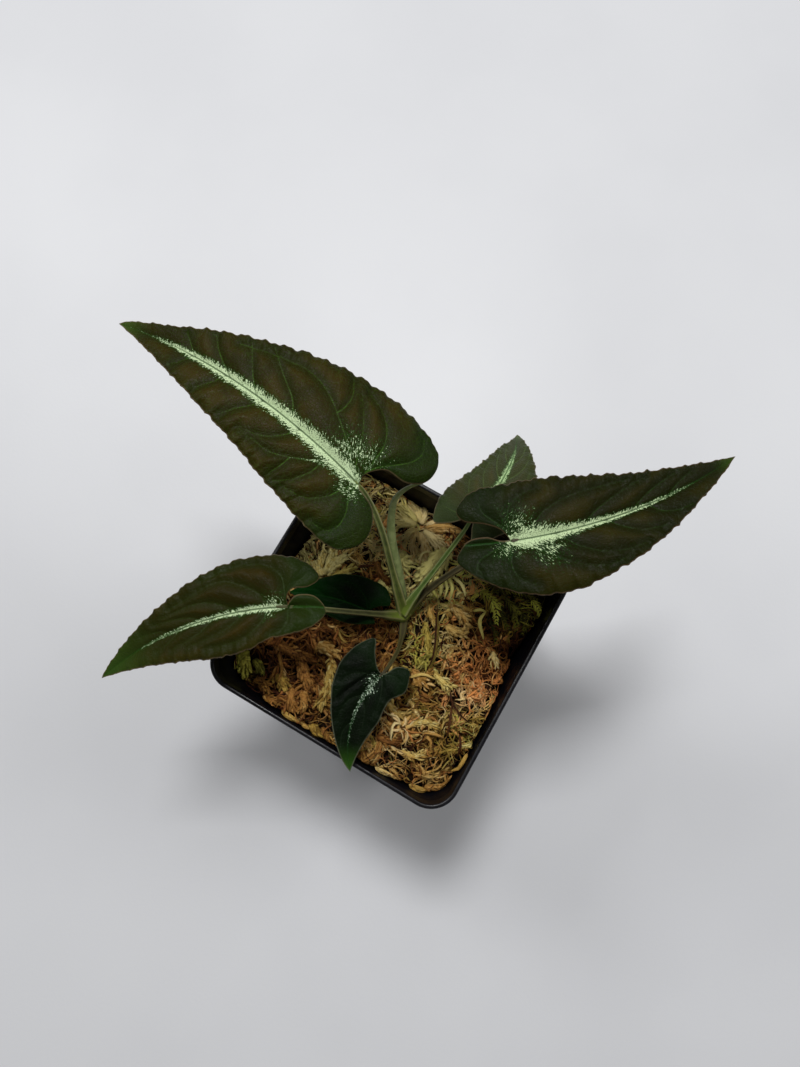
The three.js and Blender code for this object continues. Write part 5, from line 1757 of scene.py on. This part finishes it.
def makeMoss():
    # Lower and upper layers of branches, tufts, strands, sprigs and loose fibres.
    draw = np.random.default_rng(7)
    material = mossMaterial("moss")
    for name, layer in mossLayers.items():
        # Narrow branches lie closer together than wide ones.
        x, y = draw.uniform(-42.5, 42.5, (2, layer["count"]))
        length, width = patchValues(x, y)[3:5]
        kept = draw.uniform(0, 1, layer["count"]) < np.clip(7 / (length * width), 0.3, 1)
        b = bundled(draw, branchValues(draw, x[kept], y[kept], layer["level"]), layer["members"])
        b["tone"] = np.clip(b["tone"] + layer["change"] * np.clip(1.7 - 1.5 * b["tone"], 0.1, 1), 0, 1.5)
        makeBranches(name, branchLines(b, layer["rings"]), b, material, sides=4)
    makeHeads(draw, material)
    makeStrands(material)
    makeSprigs(material)
    n = fibres["count"]
    x, y = draw.uniform(-42, 42, (2, n))
    length, width = draw.uniform(*fibres["length"], n), draw.uniform(*fibres["width"], n)
    b = branchValues(draw, x, y, fibres["level"], length=length, width=width, flat=0.8, teeth=0.0)
    b["curl"] = b["curl"] * 1.6
    dark = draw.uniform(0, 1, n) < fibres["darkShare"]
    b["tone"], b["rust"] = np.where(dark, 0.08, b["tone"]), np.where(dark, 0.9, b["rust"])
    makeBranches("moss_fibres", branchLines(b, 8), b, material, sides=3)


makeMoss()


# Stage: a plain pale floor, soft light from above and from the far side.

stage = {
    "floorSize": 3.0,
    "floorCells": 8,
    "floorTone": colour(222, 223, 226),
    "floorShade": colour(206, 207, 211),
    "world": 0.155,
    "lookAt": (0, 0, 0.08),
    "above": {"place": (-0.28, 0.42, 1.25), "size": 0.3, "power": 9},
    "left": {"place": (-0.85, 0.25, 0.9), "size": 0.34, "power": 3.3},
    "right": {"place": (0.5, 0.75, 0.9), "size": 0.4, "power": 3.2},
}


def floorMaterial():
    # Nearly even, a little darker in clouds.
    material, tree, shader = startMaterial("pale floor", roughness=0.42, specular=0.4)
    place = objectOf(tree)
    shade = stepOf(noiseOf(place, 9, 4), 0.35, 0.7, 0, 0.25)
    tone = mixOf(shade, stage["floorTone"], stage["floorShade"])
    finishSkin(shader, tone, noiseOf(place, 700, 3), 0.0001, 0.25)
    return material


def makeStage():
    # A square floor, an even white surround and three square lamps turned to the pot.
    rows = stage["floorCells"] + 1
    steps = np.linspace(-stage["floorSize"] / 2, stage["floorSize"] / 2, rows)
    x, y = np.meshgrid(steps, steps)
    mesh = bpy.data.meshes.new("floor")
    points = np.stack([x, y, np.zeros_like(x)], -1).reshape(-1, 3)
    mesh.from_pydata(points.tolist(), [], gridFaces(rows, rows).tolist())
    mesh.update()
    mesh.materials.append(floorMaterial())
    floor = bpy.data.objects.new("floor", mesh)
    bpy.context.scene.collection.objects.link(floor)
    world = bpy.data.worlds.new("studio")
    bpy.context.scene.world = world
    world.use_nodes = True
    backdrop = world.node_tree.nodes["Background"]
    backdrop.inputs["Color"].default_value = (1, 1, 1, 1)
    backdrop.inputs["Strength"].default_value = stage["world"]
    for name in ("above", "left", "right"):
        lamp = stage[name]
        light = bpy.data.lights.new(name, "AREA")
        light.shape = "SQUARE"
        light.size = lamp["size"]
        light.energy = lamp["power"]
        holder = bpy.data.objects.new(name, light)
        holder.location = lamp["place"]
        ahead = Vector(stage["lookAt"]) - Vector(lamp["place"])
        holder.rotation_euler = ahead.to_track_quat("-Z", "Y").to_euler()
        bpy.context.scene.collection.objects.link(holder)
    bpy.context.scene.view_settings.view_transform = "Standard"


makeStage()
print("stage set")
